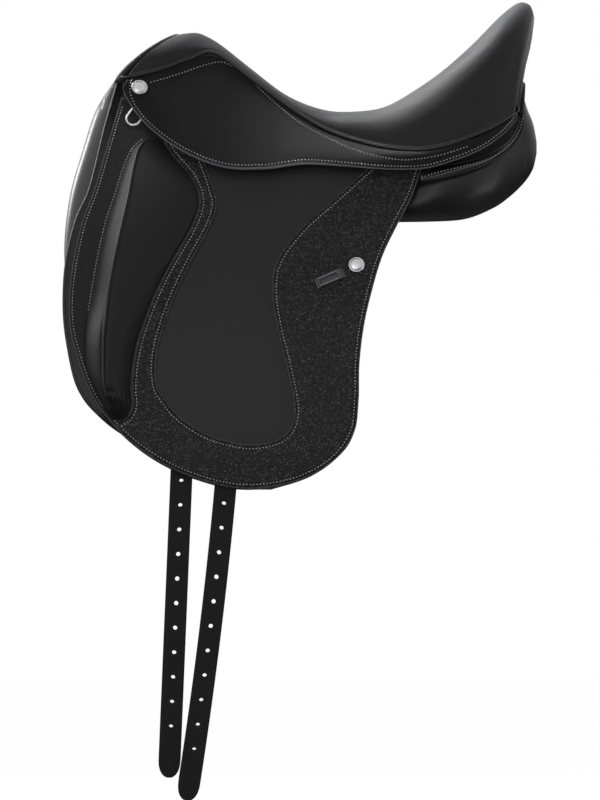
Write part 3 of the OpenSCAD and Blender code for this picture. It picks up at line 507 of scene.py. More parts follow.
class Finish:
    """Material, or the world, under construction, with one method that makes any node."""

    def __init__(self, name, store=None):
        self.owner = (bpy.data.materials if store is None else store).new(name)
        self.owner.use_nodes = True
        self.tree = self.owner.node_tree
        self.tree.nodes.clear()

    def node(self, kind, settings, inputs, output=0):
        """Node of a kind: its settings first, then the values or links of its sockets; gives one output."""
        node = self.tree.nodes.new(kind)
        for key, value in settings.items():
            setattr(node, key, value)
        for key, value in inputs.items():
            if isinstance(value, Value):
                self.tree.links.new(value.socket, node.inputs[key])
            else:
                node.inputs[key].default_value = value
        return Value(self.tree, node.outputs[output]) if node.outputs else None

    def place(self):
        """Object coordinates, in metres."""
        return self.node("ShaderNodeTexCoord", {}, {}, "Object")

    def drawn(self, scale):
        """Object coordinates scaled along each axis, which draws a noise out along the least scaled one."""
        return self.node("ShaderNodeMapping", {}, {"Vector": self.place(), "Scale": scale})

    def noise(self, place, scale, detail=2.0, output="Fac"):
        """Noise of a scale in cycles per metre."""
        inputs = {"Vector": place, "Scale": scale, "Detail": detail}
        return self.node("ShaderNodeTexNoise", {}, inputs, output)

    def waves(self, direction, scale, distortion=0.0):
        """Bands across a direction, bent by a distortion."""
        inputs = {"Vector": self.place(), "Scale": scale, "Distortion": distortion, "Detail": 2.0}
        return self.node("ShaderNodeTexWave", {"bands_direction": direction}, inputs, "Fac")

    def cells(self, feature, place, scale, output=0):
        """Voronoi cells: the distance to a cell's edge or middle, or its chance colour."""
        inputs = {"Vector": place, "Scale": scale}
        return self.node("ShaderNodeTexVoronoi", {"feature": feature}, inputs, output)

    def pebbles(self, place, cell):
        """Rounded tops of grain cells of a width in metres, from the distance to their edges."""
        return (self.cells("DISTANCE_TO_EDGE", place, 1 / cell) * 3.2).held() ** 0.6

    def attribute(self, name):
        """Number stored at the mesh's points."""
        return self.node("ShaderNodeAttribute", {"attribute_name": name}, {}, "Fac")

    def near_edge(self, reach):
        """Share that falls from one at a leather's cut edge to zero at a reach in millimetres."""
        return 1 - (self.attribute("edge") / reach).held()

    def mix(self, share, first, second):
        """Colour between two colours."""
        return self.node("ShaderNodeMix", {"data_type": "RGBA"}, {0: share, 6: first, 7: second}, 2)

    def tones(self, share, colour, low, high):
        """Colour between two tones of one colour."""
        return self.mix(share, shade(colour, low), shade(colour, high))

    def painted_rim_highlight(self, base, colour, light):
        """Colour with a painted highlight right at a leather's cut edge, where its rounded rim would catch
        the light.
        """
        return self.mix(self.near_edge(RIM_HIGHLIGHT_REACH) * 0.8, base, shade(colour, light))

    def bump(self, height, distance):
        """Normal that a height field of a depth in metres gives."""
        return self.node("ShaderNodeBump", {}, {"Height": height, "Distance": distance, "Strength": 1.0})

    def surface(self, **inputs):
        """Principled surface; names use underscores for spaces."""
        sockets = {key.replace("_", " "): value for key, value in inputs.items()}
        shader = self.node("ShaderNodeBsdfPrincipled", {}, sockets)
        self.node("ShaderNodeOutputMaterial", {}, {"Surface": shader})
        return self.owner


def shade(colour, k):
    """Colour with its light scaled and full alpha."""
    return (colour[0] * k, colour[1] * k, colour[2] * k, 1.0)


def leather(
    name, depth, roughness, coat, colour="smooth", grain="pore_size", low=0.6, high=1.45, painted_glint_share=0.0,
    shine=0.15,
):
    """Leather: rounded grain cells from the distance to Voronoi edges, pores, broad tone and worn edges, with
    painted shade in the grain's hollows, painted glints on the pebbles where a glint share is given, and a
    painted highlight along the cut edge.
    """
    hide = getattr(bpy.context.scene.saddle_colours, colour)
    cell = getattr(bpy.context.scene.saddle_sizes, grain)
    finish = Finish(name)
    place = finish.place()
    swirl = finish.noise(place, 0.35 / cell, output="Color")
    bent = finish.node(
        "ShaderNodeVectorMath", {"operation": "MULTIPLY_ADD"}, {0: swirl, 1: (cell, cell, cell), 2: place}
    )
    pebble = finish.pebbles(bent, cell)
    chance = finish.cells("F1", bent, 1 / cell, "Color")
    pores = finish.noise(place, 2600.0)
    tone = finish.noise(place, 16.0, 3.0)
    creases = finish.noise(place, 90.0, 4.0)
    worn = finish.near_edge(WORN_REACH)
    # Painted glints: by the glint share some pebbles turn much lighter; painted shade: each pebble's top
    # lighter than its hollow
    bright = ((chance - 0.3) * 2.5).held()
    lit = pebble * (0.35 * (1 - painted_glint_share) + painted_glint_share * pebble * bright)
    share = (tone * (0.5 - 0.4 * painted_glint_share) + lit + worn * 0.3).held()
    rough = (roughness - 0.06 + tone * 0.1 + (1 - pebble) * 0.12 - worn * 0.06).held(0.12, 0.95)
    height = pebble + pores * 0.12 + creases * 0.35
    return finish.surface(
        Base_Color=finish.painted_rim_highlight(finish.tones(share, hide, low, high), hide, 18), Roughness=rough,
        Specular_IOR_Level=shine, Coat_Weight=coat, Coat_Roughness=0.32, Normal=finish.bump(height, depth),
    )


def two_leathers(name, colour, other):
    """Leather whose grain grows from smooth to pebbled with the mesh's "grained" number; the pebbles' hollows
    darker than their tops as painted shade, and a painted highlight along the cut edge.
    """
    finish = Finish(name)
    place = finish.place()
    grained = finish.attribute("grained")
    pebble = finish.pebbles(place, bpy.context.scene.saddle_sizes.grain_size)
    pores = finish.noise(place, 1500.0)
    tone = finish.noise(place, 13.0, 4.0)
    worn = finish.near_edge(WORN_REACH)
    smooth = finish.tones((tone * 0.5 + worn).held(), colour, 0.75, 2.2)
    # Pebble tops lighter than their hollows: painted shade
    pebbled = finish.tones((pebble * 0.5 + worn).held(), other, 0.5, 2.6)
    rough = (0.45 + tone * 0.1 + grained * (0.5 - pebble * 0.4) * 0.3).held(0.12, 0.95)
    height = pores * 0.12 + grained * pebble
    return finish.surface(
        Base_Color=finish.painted_rim_highlight(finish.mix(grained, smooth, pebbled), colour, 12), Roughness=rough,
        Specular_IOR_Level=0.18, Coat_Weight=0.06, Coat_Roughness=0.35, Normal=finish.bump(height, 0.00035),
    )


def thread(name, colour):
    """Waxed thread: fine twisted strands as noise in the bump, and slightly soiled in places."""
    finish = Finish(name)
    place = finish.place()
    strands = finish.noise(place, 2200.0)
    soil = finish.noise(place, 60.0)
    base = finish.tones((soil * 0.6 + strands * 0.4).held(), colour, 0.7, 1.1)
    return finish.surface(Base_Color=base, Roughness=0.62, Normal=finish.bump(strands, 0.0002))


def plated(name, colour):
    """Nickel plate: fine scratches in roughness and bump over a bright metal."""
    finish = Finish(name)
    place = finish.place()
    scratches = finish.noise(place, 900.0, 3.0)
    smears = finish.noise(place, 120.0)
    base = finish.tones(smears, colour, 0.85, 1.0)
    rough = (0.24 + scratches * 0.12 + smears * 0.06).held(0.05, 0.9)
    return finish.surface(
        Base_Color=base, Metallic=1.0, Roughness=rough, Normal=finish.bump(scratches, 0.00004)
    )


def brushed(name, colour):
    """Plain steel brushed along the saddle: noise drawn out along x."""
    finish = Finish(name)
    lines = finish.noise(finish.drawn((40.0, 1400.0, 1400.0)), 1.0)
    base = finish.tones(lines, colour, 0.75, 1.05)
    return finish.surface(
        Base_Color=base, Metallic=1.0, Roughness=0.28 + lines * 0.2, Normal=finish.bump(lines, 0.00005)
    )


def beech(name, colour):
    """Stained laminated beech: thin layers across the height and pores drawn out along the grain."""
    finish = Finish(name)
    layers = finish.waves("Z", 210.0, 1.5)
    pores = finish.noise(finish.drawn((30.0, 700.0, 700.0)), 1.0, 4.0)
    base = finish.tones((layers * 0.6 + pores * 0.5).held(), colour, 0.55, 1.1)
    return finish.surface(Base_Color=base, Roughness=0.45 + pores * 0.2, Normal=finish.bump(pores, 0.0002))


def woven(name, colour):
    """Webbing: crossed waves along x and z make the over and under of the weave, the lower threads darker as
    painted shade.
    """
    finish = Finish(name)
    crossed = finish.waves("X", 260.0) - finish.waves("Z", 200.0)
    cloth = crossed.math("ABSOLUTE", crossed)
    base = finish.tones(cloth, colour, 0.55, 1.1)
    return finish.surface(Base_Color=base, Roughness=0.85, Normal=finish.bump(cloth, 0.0004))


def open_foam(name, colour):
    """Cut foam: small open cells as Voronoi hollows, darker inside as painted shade."""
    finish = Finish(name)
    place = finish.place()
    hollows = finish.cells("F1", place, 750.0)
    tone = finish.noise(place, 25.0)
    base = finish.tones((hollows * 0.7 + tone * 0.4).held(), colour, 0.6, 1.1)
    return finish.surface(Base_Color=base, Roughness=0.9, Normal=finish.bump(hollows, 0.0006))


LEATHERS = {
    "smooth": dict(name="smooth_calf_leather", depth=0.00006, roughness=0.42, coat=0.12),
    # Grained leather: its high tone and full glint share paint glints on the pebbles
    "grained": dict(
        name="pebbled_leather", colour="grained", grain="grain_size", depth=0.0016, roughness=0.42, coat=0.1,
        low=1.2, high=9.5, painted_glint_share=1.0,
    ),
    "matt": dict(name="skirt_leather", depth=0.00008, roughness=0.6, coat=0.0, low=0.7, high=1.5, shine=0.1),
    # Seat: the smooth leather in lighter tones, a painted sheen
    "seat": dict(name="seat_leather", depth=0.00008, roughness=0.5, coat=0.0, low=1.4, high=3.2, shine=0.12),
    # Thigh block: the smooth leather in darker tones, painted shade
    "block": dict(name="block_leather", depth=0.0001, roughness=0.42, coat=0.03, low=0.5, high=1.2),
    # Keeper: the smooth leather in far lighter tones, a painted highlight
    "keeper": dict(name="keeper_leather", depth=0.0001, roughness=0.42, coat=0.2, low=3.0, high=12.0),
    "padding": dict(name="panel_leather", colour="panel", depth=0.00006, roughness=0.36, coat=0.2),
    "roll": dict(name="roll_leather", colour="panel", depth=0.00006, roughness=0.36, coat=1.0),
    "strap": dict(name="strap_leather", colour="strap", depth=0.00008, roughness=0.55, coat=0.05),
    "piping": dict(name="piping_leather", colour="panel", depth=0.00004, roughness=0.3, coat=0.3),
}
FINISHES = {
    "insert": lambda c: two_leathers("insert_leather", c.smooth, c.grained),
    "thread": lambda c: thread("waxed_thread", c.thread),
    "nickel": lambda c: plated("nickel_plate", c.nickel),
    "steel": lambda c: brushed("brushed_steel", c.steel),
    "wood": lambda c: beech("stained_beech", c.wood),
    "webbing": lambda c: woven("woven_webbing", c.webbing),
    "foam": lambda c: open_foam("cut_foam", c.foam),
}
MADE = {}


def finish_of(kind):
    """Material of a kind, made on its first use."""
    if kind not in MADE:
        colours = bpy.context.scene.saddle_colours
        MADE[kind] = leather(**LEATHERS[kind]) if kind in LEATHERS else FINISHES[kind](colours)
    return MADE[kind]


def grid_faces(rows, columns, wrap=False):
    """Corner numbers of a grid's quads; with wrap the last column joins the first."""
    i, j = np.meshgrid(np.arange(rows - 1), np.arange(columns if wrap else columns - 1), indexing="ij")
    k = (j + 1) % columns
    near = i * columns
    far = near + columns
    return np.stack([near + j, near + k, far + k, far + j], axis=-1).reshape(-1, 4)


def edge_gap(grid):
    """Distance of each grid point from the nearest border, measured along the grid."""
    gaps = []
    for axis in (0, 1):
        steps = np.linalg.norm(np.diff(grid, axis=axis), axis=-1)
        none = np.zeros_like(np.take(steps, [0], axis))
        start = np.concatenate([none, np.cumsum(steps, axis=axis)], axis=axis)
        gaps.append(np.minimum(start, np.take(start, [-1], axis) - start))
    return np.minimum(*gaps)


def add_piece(name, points, faces, body, slot, kind, side=1, replaces=(), numbers=None):
    """Mesh object from points in millimetres; side -1 mirrors it to the left and turns its faces round."""
    co = np.array(points, float).reshape(-1, 3) * MM
    co[:, 1] *= side
    mesh = bpy.data.meshes.new(name)
    mesh.from_pydata(co.tolist(), [], [list(f)[::side] for f in faces])
    for label, values in {"edge": np.full(len(co), FAR_INSIDE), **(numbers or {})}.items():
        attribute = mesh.attributes.new(label, "FLOAT", "POINT")
        attribute.data.foreach_set("value", np.asarray(values, np.float32).ravel())
    mesh.polygons.foreach_set("use_smooth", np.ones(len(mesh.polygons), bool))
    mesh.materials.append(finish_of(kind))
    mesh.validate()
    mesh.update()
    piece = bpy.data.objects.new(name, mesh)
    bpy.context.scene.collection.objects.link(piece)
    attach(piece, body)
    if replaces:
        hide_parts(*replaces)
    return piece


def outward_faces(points, faces, outward):
    """Faces turned so that their mean normal points outward."""
    p = points.reshape(-1, 3)
    normal = np.cross(p[faces[:, 1]] - p[faces[:, 0]], p[faces[:, 2]] - p[faces[:, 0]]).sum(axis=0)
    return faces if normal @ np.asarray(outward, float) > 0 else faces[:, ::-1]


def closed_turn(points, faces):
    """Reading direction, 1 or -1, in which the faces of a closed shape hold a positive volume."""
    p = points.reshape(-1, 3)
    p = p - p.mean(axis=0)
    volume = np.einsum("ij,ij->i", p[faces[:, 0]], np.cross(p[faces[:, 1]], p[faces[:, 2]])).sum()
    return 1 if volume > 0 else -1


def pad(top, low):
    """Closed pad between two grids of the same size: its points, and its faces turned outwards."""
    rows, columns = top.shape[:2]
    count = rows * columns
    points = np.concatenate([top.reshape(-1, 3), low.reshape(-1, 3)])
    upper = grid_faces(rows, columns)
    ids = np.arange(count).reshape(rows, columns)
    rim = np.concatenate([ids[0, :-1], ids[:-1, -1], ids[-1, :0:-1], ids[:0:-1, 0]])
    ahead = np.roll(rim, -1)
    walls = np.stack([ahead, rim, rim + count, ahead + count], axis=1)
    faces = np.concatenate([upper, upper[:, ::-1] + count, walls])
    return points, faces[:, :: closed_turn(points, faces)]


def thicken(piece, thickness, rounding):
    """Wall grown inwards from a sheet, with its rim rounded."""
    wall = piece.modifiers.new("wall", "SOLIDIFY")
    wall.thickness = thickness * MM
    wall.offset = -1.0
    rim = piece.modifiers.new("rim", "BEVEL")
    rim.width = rounding * bpy.context.scene.saddle_sizes.edge_rounding
    rim.segments = 3
    rim.limit_method = "ANGLE"
    rim.angle_limit = math.radians(50)


def sheet(name, grid, thickness, outward, body, slot, kind, side=1, replaces=(), rounding=1.0, numbers=None):
    """Leather sheet: the grid is its outer face, and its wall grows inwards."""
    faces = outward_faces(grid, grid_faces(*grid.shape[:2]), outward)
    marks = {"edge": edge_gap(grid), **(numbers or {})}
    piece = add_piece(name, grid, faces, body, slot, kind, side, replaces, marks)
    thicken(piece, thickness, rounding)
    return piece


def tube_rings(path, across, up, width, height, around=14):
    """Rings of an oval section along a path: a cosine along one direction and a sine along the other."""
    a = np.linspace(0, 2 * np.pi, around, endpoint=False)
    wide = across[:, None, :] * (0.5 * width * np.cos(a))[None, :, None]
    high = up[:, None, :] * (0.5 * height * np.sin(a))[None, :, None]
    return path[:, None, :] + wide + high


def loft(name, rings, body, slot, kind, side=1, replaces=()):
    """Closed piece through rings: quads between them and a fan of triangles to each end's middle."""
    rows, around = rings.shape[:2]
    points = np.concatenate([rings.reshape(-1, 3), rings[:1].mean(axis=1), rings[-1:].mean(axis=1)])
    walls = grid_faces(rows, around, wrap=True)
    j = np.arange(around)
    k = (j + 1) % around
    middle = rows * around
    last = middle - around
    head = np.stack([np.full(around, middle), k, j], axis=1)
    tail = np.stack([np.full(around, middle + 1), last + j, last + k], axis=1)
    turn = closed_turn(points, walls)
    faces = [list(f)[::turn] for part in (walls, head, tail) for f in part]
    return add_piece(name, points, faces, body, slot, kind, side, replaces)


def bead(name, path, across, up, size, body, slot, kind, side=1, replaces=()):
    """Piping of round section along a path."""
    return loft(name, tube_rings(path, across, up, size, size), body, slot, kind, side, replaces)


def stitch_rows(name, rows, body, side, size=1.0, pitch=None):
    """Rows of thread stitches: each a six-sided grain, raised in the middle and slanted to its row."""
    sizes = bpy.context.scene.saddle_sizes
    width = size * sizes.thread_width / MM
    pitch = pitch or sizes.stitch_pitch / MM
    cover = 0.46
    slant = 0.14
    arched = 0.22
    sunk = 0.02
    around = 6
    found = []
    for path, normal in rows:
        run = lengths(path)
        count = max(2, int(run[-1] / pitch))
        at = (np.arange(count) + 0.5) * run[-1] / count
        ahead = at_lengths(at + 0.5, run, path) - at_lengths(at - 0.5, run, path)
        half = np.full((count, 1), 0.5 * cover * run[-1] / count)
        found.append((at_lengths(at, run, path), unit(at_lengths(at, run, normal)), unit(ahead), half))
    c, n, t, h = (np.concatenate(part) for part in zip(*found))
    t = unit(t + slant * unit(np.cross(n, t)))
    b = unit(np.cross(n, t))
    q = np.array([-1.0, -0.72, 0.0, 0.72, 1.0])
    thick = 0.5 * width * np.array([0.45, 0.85, 1.0, 0.85, 0.45])
    lift = arched * (1 - q * q) - sunk
    a = np.linspace(0, 2 * np.pi, around, endpoint=False)
    forward = (h * q)[:, :, None, None] * t[:, None, None, :]
    raised = (lift[:, None] + thick[:, None] * np.cos(a))[None, :, :, None] * n[:, None, None, :]
    aside = (thick[:, None] * np.sin(a))[None, :, :, None] * b[:, None, None, :]
    points = c[:, None, None, :] + forward + raised + aside
    grain = grid_faces(len(q), around, wrap=True)
    start = np.arange(len(c)) * len(q) * around
    walls = (grain[None] + start[:, None, None]).reshape(-1, 4)
    ring = np.arange(around)
    caps = np.concatenate([start[:, None] + ring[::-1], start[:, None] + (len(q) - 1) * around + ring])
    turn = closed_turn(points[0], grain)
    faces = [list(f)[::turn] for part in (walls, caps) for f in part]
    return add_piece(name, points, faces, body, "smooth_leather", "thread", side)


def number_property(label, text, value, unit="NONE"):
    """Number that a user can change."""
    return FloatProperty(name=label, description=text, default=value, unit=unit)


def length_property(label, text, value):
    """Length in metres that a user can change."""
    return number_property(label, text, value, "LENGTH")


def colour_property(label, text, value):
    """Colour that a user can change."""
    return FloatVectorProperty(
        name=label, description=text, subtype="COLOR", size=3, min=0, max=1, default=value
    )


class SaddleSizes(bpy.types.PropertyGroup):
    """Sizes of the saddle's finishing details."""

    stitch_pitch: length_property("Stitch pitch", "Distance between stitches", 0.0038)
    thread_width: length_property("Thread width", "Width of the sewing thread", 0.0013)
    grain_size: length_property("Grain size", "Width of a pebble in the grained leather", 0.0027)
    pore_size: length_property("Pore size", "Width of a grain cell in the smooth leather", 0.0008)
    edge_rounding: length_property("Edge rounding", "Rounding of the cut leather edges", 0.0007)


class SaddleColours(bpy.types.PropertyGroup):
    """Colours of the saddle's finishes."""

    smooth: colour_property("Smooth leather", "Seat, skirts, insert and blocks", (0.017, 0.017, 0.018))
    grained: colour_property("Grained leather", "Overlay round the insert", (0.012, 0.012, 0.0125))
    panel: colour_property("Panel leather", "Panels, rolls and sweat flaps", (0.015, 0.015, 0.016))
    strap: colour_property("Strap leather", "Girth straps", (0.008, 0.008, 0.008))
    thread: colour_property("Thread", "Contrast stitching", (0.8, 0.8, 0.78))
    nickel: colour_property("Nickel", "Studs and rings", (0.5, 0.5, 0.51))
    steel: colour_property("Steel", "Head plate, springs and bars", (0.5, 0.51, 0.53))
    wood: colour_property("Wood", "Stained wood of the tree", (0.045, 0.032, 0.024))
    webbing: colour_property("Webbing", "Girth and seat webs", (0.42, 0.38, 0.31))
    foam: colour_property("Foam", "Seat foam", (0.1, 0.1, 0.095))


class StageLooks(bpy.types.PropertyGroup):
    """Camera distance and light of the studio."""

    distance: length_property("Camera distance", "Distance of the long lens", 30.0)
    key_power: number_property("Key power", "Softbox behind on the left", 36.0)
    strip_power: number_property("Strip power", "Tall strip left of the camera", 8.0)
    top_power: number_property("Top power", "Narrow softbox above the seat", 3.0)
    side_power: number_property("Side power", "Small softbox on the right", 11.0)
    front_power: number_property("Front power", "Broad fill from the camera's side", 20.0)
    room_light: number_property("Room light", "Even light of the white room", 0.03)


class SADDLE_OT_stage(bpy.types.Operator):
    """Floor, white room, softboxes and a long lens at the photograph's angle"""

    bl_idname = "saddle.stage"
    bl_label = "Stage"

    # Softboxes: place, target, width, height and spread in degrees
    SOFTBOXES = {
        "key": ((-2.0, 0.85, 1.4), (-0.2, 0.0, 0.05), 0.6, 0.8, 180),
        "strip": ((-1.5, -2.4, 0.25), (-0.2, -0.1, 0.0), 0.4, 2.2, 180),
        "top": ((-0.5, 0.55, 1.5), (0.28, 0.0, 0.15), 0.6, 0.6, 16),
        "side": ((2.0, -0.7, -0.5), (0.2, 0.0, 0.05), 0.8, 0.8, 180),
        "front": ((-0.9, -3.2, 0.5), (-0.05, -0.1, 0.0), 2.4, 2.4, 180),
    }

    def execute(self, context):
        looks = context.scene.stage_looks
        self.room(context, looks)
        self.floor()
        for name, values in self.SOFTBOXES.items():
            self.softbox(f"{name}_light", getattr(looks, f"{name}_power"), *values)
        self.camera(context, looks)
        context.scene.view_settings.view_transform = "Standard"
        return {"FINISHED"}

    def room(self, context, looks):
        """World that lights the saddle evenly and shows white to the camera and in bright metal."""
        white = (1, 1, 1, 1)
        room = Finish("white_room", bpy.data.worlds)
        context.scene.world = room.owner
        shown = room.node("ShaderNodeLightPath", {}, {}, "Is Camera Ray")
        for ray in ("Is Glossy Ray", "Is Transmission Ray"):
            shown = shown.math("MAXIMUM", shown, room.node("ShaderNodeLightPath", {}, {}, ray))
        even = room.node("ShaderNodeBackground", {}, {"Color": white, "Strength": looks.room_light})
        bright = room.node("ShaderNodeBackground", {}, {"Color": white, "Strength": 1.0})
        either = room.node("ShaderNodeMixShader", {}, {0: shown, 1: even, 2: bright})
        room.node("ShaderNodeOutputWorld", {}, {"Surface": either})

    def floor(self):
        """Flat white floor just below the straps' tips, which keeps a faint shadow."""
        level = CAD_BOX[0][2] - 0.004
        reach = 40.0
        corners = [(-1, -1), (1, -1), (1, 1), (-1, 1)]
        mesh = bpy.data.meshes.new("studio_floor")
        mesh.from_pydata([(x * reach, y * reach, level) for x, y in corners], [], [(0, 1, 2, 3)])
        finish = Finish("studio_white")
        paint = finish.node("ShaderNodeBsdfDiffuse", {}, {"Color": (0.3, 0.3, 0.3, 1)})
        glow = finish.node("ShaderNodeEmission", {}, {"Color": (1, 1, 1, 1), "Strength": 0.98})
        seen = finish.node("ShaderNodeLightPath", {}, {}, "Is Camera Ray")
        dark = finish.node("ShaderNodeEmission", {}, {"Color": (0, 0, 0, 1), "Strength": 0.0})
        shown = finish.node("ShaderNodeMixShader", {}, {0: seen, 1: dark, 2: glow})
        both = finish.node("ShaderNodeAddShader", {}, {0: paint, 1: shown})
        finish.node("ShaderNodeOutputMaterial", {}, {"Surface": both})
        mesh.materials.append(finish.owner)
        floor = bpy.data.objects.new("studio_floor", mesh)
        bpy.context.scene.collection.objects.link(floor)

    def softbox(self, name, power, place, target, width, height, spread):
        """Rectangular area light aimed at a point, its beam narrowed to a spread in degrees."""
        lamp = bpy.data.lights.new(name, "AREA")
        lamp.spread = math.radians(spread)
        lamp.shape = "RECTANGLE"
        lamp.size = width
        lamp.size_y = height
        lamp.energy = power
        box = bpy.data.objects.new(name, lamp)
        box.location = place
        box.rotation_euler = (Vector(target) - Vector(place)).to_track_quat("-Z", "Y").to_euler()
        bpy.context.scene.collection.objects.link(box)

    def camera(self, context, looks):
        """Long lens level with the girth straps, so that their holes line up, over the picture's height."""
        picture_height = 0.912
        lens = bpy.data.cameras.new("long_lens")
        lens.lens = lens.sensor_width * looks.distance / picture_height
        view = bpy.data.objects.new("long_lens", lens)
        view.location = (-0.12, -looks.distance, -0.42)
        aim = Vector((0.0, -0.1, -0.2052)) - view.location
        view.rotation_euler = aim.to_track_quat("-Z", "Y").to_euler()
        lens.clip_end = 200.0
        context.scene.collection.objects.link(view)
        context.scene.camera = view


def arch_path(v):
    """Middle line of the front arch's roll before the seat's edge, with its forward and upward directions."""
    ahead = POMMEL_ROLL / 2 + FIT_GAP
    drop = POMMEL_ROLL * 0.36
    front, forward, across = seat_end(0.0, v, 0.012)
    up = unit(np.cross(across, forward))
    up = up * np.sign(up[len(v) // 2, 2])
    return front + forward * ahead - up * drop, forward, up


class SADDLE_OT_seat(bpy.types.Operator):
    """Seat leather, its welts, the front arch roll, the cantle facing and the foam below"""

    bl_idname = "saddle.seat"
    bl_label = "Seat"

    def execute(self, context):
        fade = 26
        middle = 20
        grid, normal = seat_grid(220, 181)
        for line, height, width in SEAT_FOLDS:
            gap = line_distance(grid, smooth_path(line, 120))
            low, high = np.sort([line[0][1], line[-1][1]])
            within = ease((grid[..., 2] - low) / fade) * ease((high - grid[..., 2]) / fade)
            side = ease((np.abs(grid[..., 1]) - middle) / 30) * within
            grid = grid + normal * (height * bell(gap, width) * side)[..., None]
        seat = sheet("seat_leather", grid, COVER_T, UP, "saddle", "smooth_leather", "seat",
                     replaces=["seat_cover"])
        for label, side in SIDES:
            self.welt(label, side)
        self.cantle()
        self.arch()
        self.foam()
        return {"FINISHED"}

    def welt(self, label, side):
        """Piping between the seat and the skirt, along the seat's edge and a little past its front."""
        past = 9
        path = smooth_path(SEAT_EDGE, 260) - (FIT_GAP + WELT_D / 2) * UP
        path = np.concatenate([path[:1] + past * unit(path[:1] - path[4:5]), path])
        run = heading(path)
        across = unit(np.cross(run, UP))
        bead(f"seat_piping_{label}", path, across, np.cross(across, run), SEAT_PIPING_D, "saddle",
             "smooth_leather", "piping", side, [f"seat_welt_{label}"])

    def rim(self, v, past):
        """Rim of the seat leather behind the cantle, moved on along the leather by a distance."""
        end, run, across = seat_end(1.0, v, -0.015)
        normal = unit(np.cross(run, across))
        normal = normal * np.sign(normal[:, 0:1])
        return end + past * run - COVER_T / 2 * normal, run, normal

    def cantle(self):
        """Piping along the back rim, and the facing that falls from it to the panels in a low curve."""
        sunk = 1.2
        behind = 3.5
        crown = 3
        reach = 0.96
        path, run, normal = self.rim(np.linspace(-1, 1, 201), FIT_GAP + WELT_D / 2)
        bead("cantle_piping", path - sunk * normal, normal, run, CANTLE_PIPING_D, "saddle", "smooth_leather",
             "piping", replaces=["cantle_welt"])
        v = np.linspace(-reach, reach, 181)
        top = self.rim(v, WELT_D + 2 * FIT_GAP + 0.2)[0]
        low = along(CANTLE_LOW, np.abs(v)) * np.stack([np.ones_like(v), np.sign(v), np.ones_like(v)], axis=1)
        seam = low + behind * AFT
        back = np.broadcast_to(AFT, seam.shape)
        up = unit(np.cross(heading(seam), back))
        bead("cantle_seam_piping", seam, back, up, CANTLE_SEAM_D, "saddle", "panel_leather", "matt")
        t = np.linspace(0, 1, 40)[:, None, None]
        grid = top + (low - top) * t + crown * np.sin(np.pi * t) * AFT
        sheet("cantle_leather", grid, COVER_T, AFT, "saddle", "smooth_leather", "smooth",
              replaces=["cantle_facing"])

    def arch(self):
        """Rolled edge of the front arch: an oval bead along the seat's front, with a tail at each end."""
        tail_length = 11
        flatness = 0.8
        path, forward, up = arch_path(np.linspace(-1, 1, 201))
        tail = tail_length * unit(np.array([[-4.0, -10, -10], [-4, 10, -10]]))
        path = np.concatenate([path[:1] + tail[:1], path, path[-1:] + tail[1:]])
        forward = np.concatenate([forward[:1], forward, forward[-1:]])
        up = np.concatenate([up[:1], up, up[-1:]])
        rings = tube_rings(path, forward, up, POMMEL_ROLL, POMMEL_ROLL * flatness, 28)
        loft("pommel_roll_leather", rings, "saddle", "smooth_leather", "smooth", replaces=["pommel_facing"])

    def foam(self):
        """Foam under the seat leather: the seat's grid moved in, and again lowered by its thickness."""
        rows = slice(0, 83)
        columns = slice(6, 55)
        grid, normal = seat_grid(90, 61)
        top = (grid - (COVER_T + FIT_GAP + 0.1) * normal)[rows, columns]
        v = np.linspace(-1, 1, 61)[columns]
        thickness = 6 + 10 * (1 - v * v)
        low = top - thickness[None, :, None] * UP
        piece = add_piece("seat_padding", *pad(top, low), "saddle", "foam", "foam", replaces=["seat_foam"])


class SADDLE_OT_linings(bpy.types.Operator):
    """Leather that hides the tree: the lining of the gullet and the facing inside the front arch"""

    bl_idname = "saddle.linings"
    bl_label = "Linings"

    def execute(self, context):
        bulge = 3
        u, v = np.meshgrid(np.linspace(0, 1, 120), np.linspace(-1, 1, 61), indexing="ij")
        sheet("gullet_lining", self.vault(u, v), LINING_T, -UP, "saddle", "panel_leather", "matt")
        v = np.linspace(-1, 1, 121)
        front = arch_path(v)[0]
        low = self.vault(np.zeros_like(v), v)
        t = np.linspace(0, 1, 14)[:, None, None]
        facing = front + (low - front) * t - bulge * np.sin(np.pi * t) * AFT
        sheet("arch_facing", facing, LINING_T, -AFT, "saddle", "smooth_leather", "matt")
        return {"FINISHED"}

    def vault(self, u, v):
        """Rounded vault under the tree: powers of sine and cosine across it, its front feet drawn forward."""
        power = 0.8
        forward = 58
        p = along(LINING, u)
        a = 0.5 * np.pi * np.abs(v)
        x = p[..., 0] - forward * v * v * ease(1 - u / 0.12)
        y = np.sign(v) * p[..., 1] * np.sin(a) ** power
        z = p[..., 3] + (p[..., 2] - p[..., 3]) * np.maximum(np.cos(a), 0) ** power
        return np.stack([x, y, z], axis=-1)


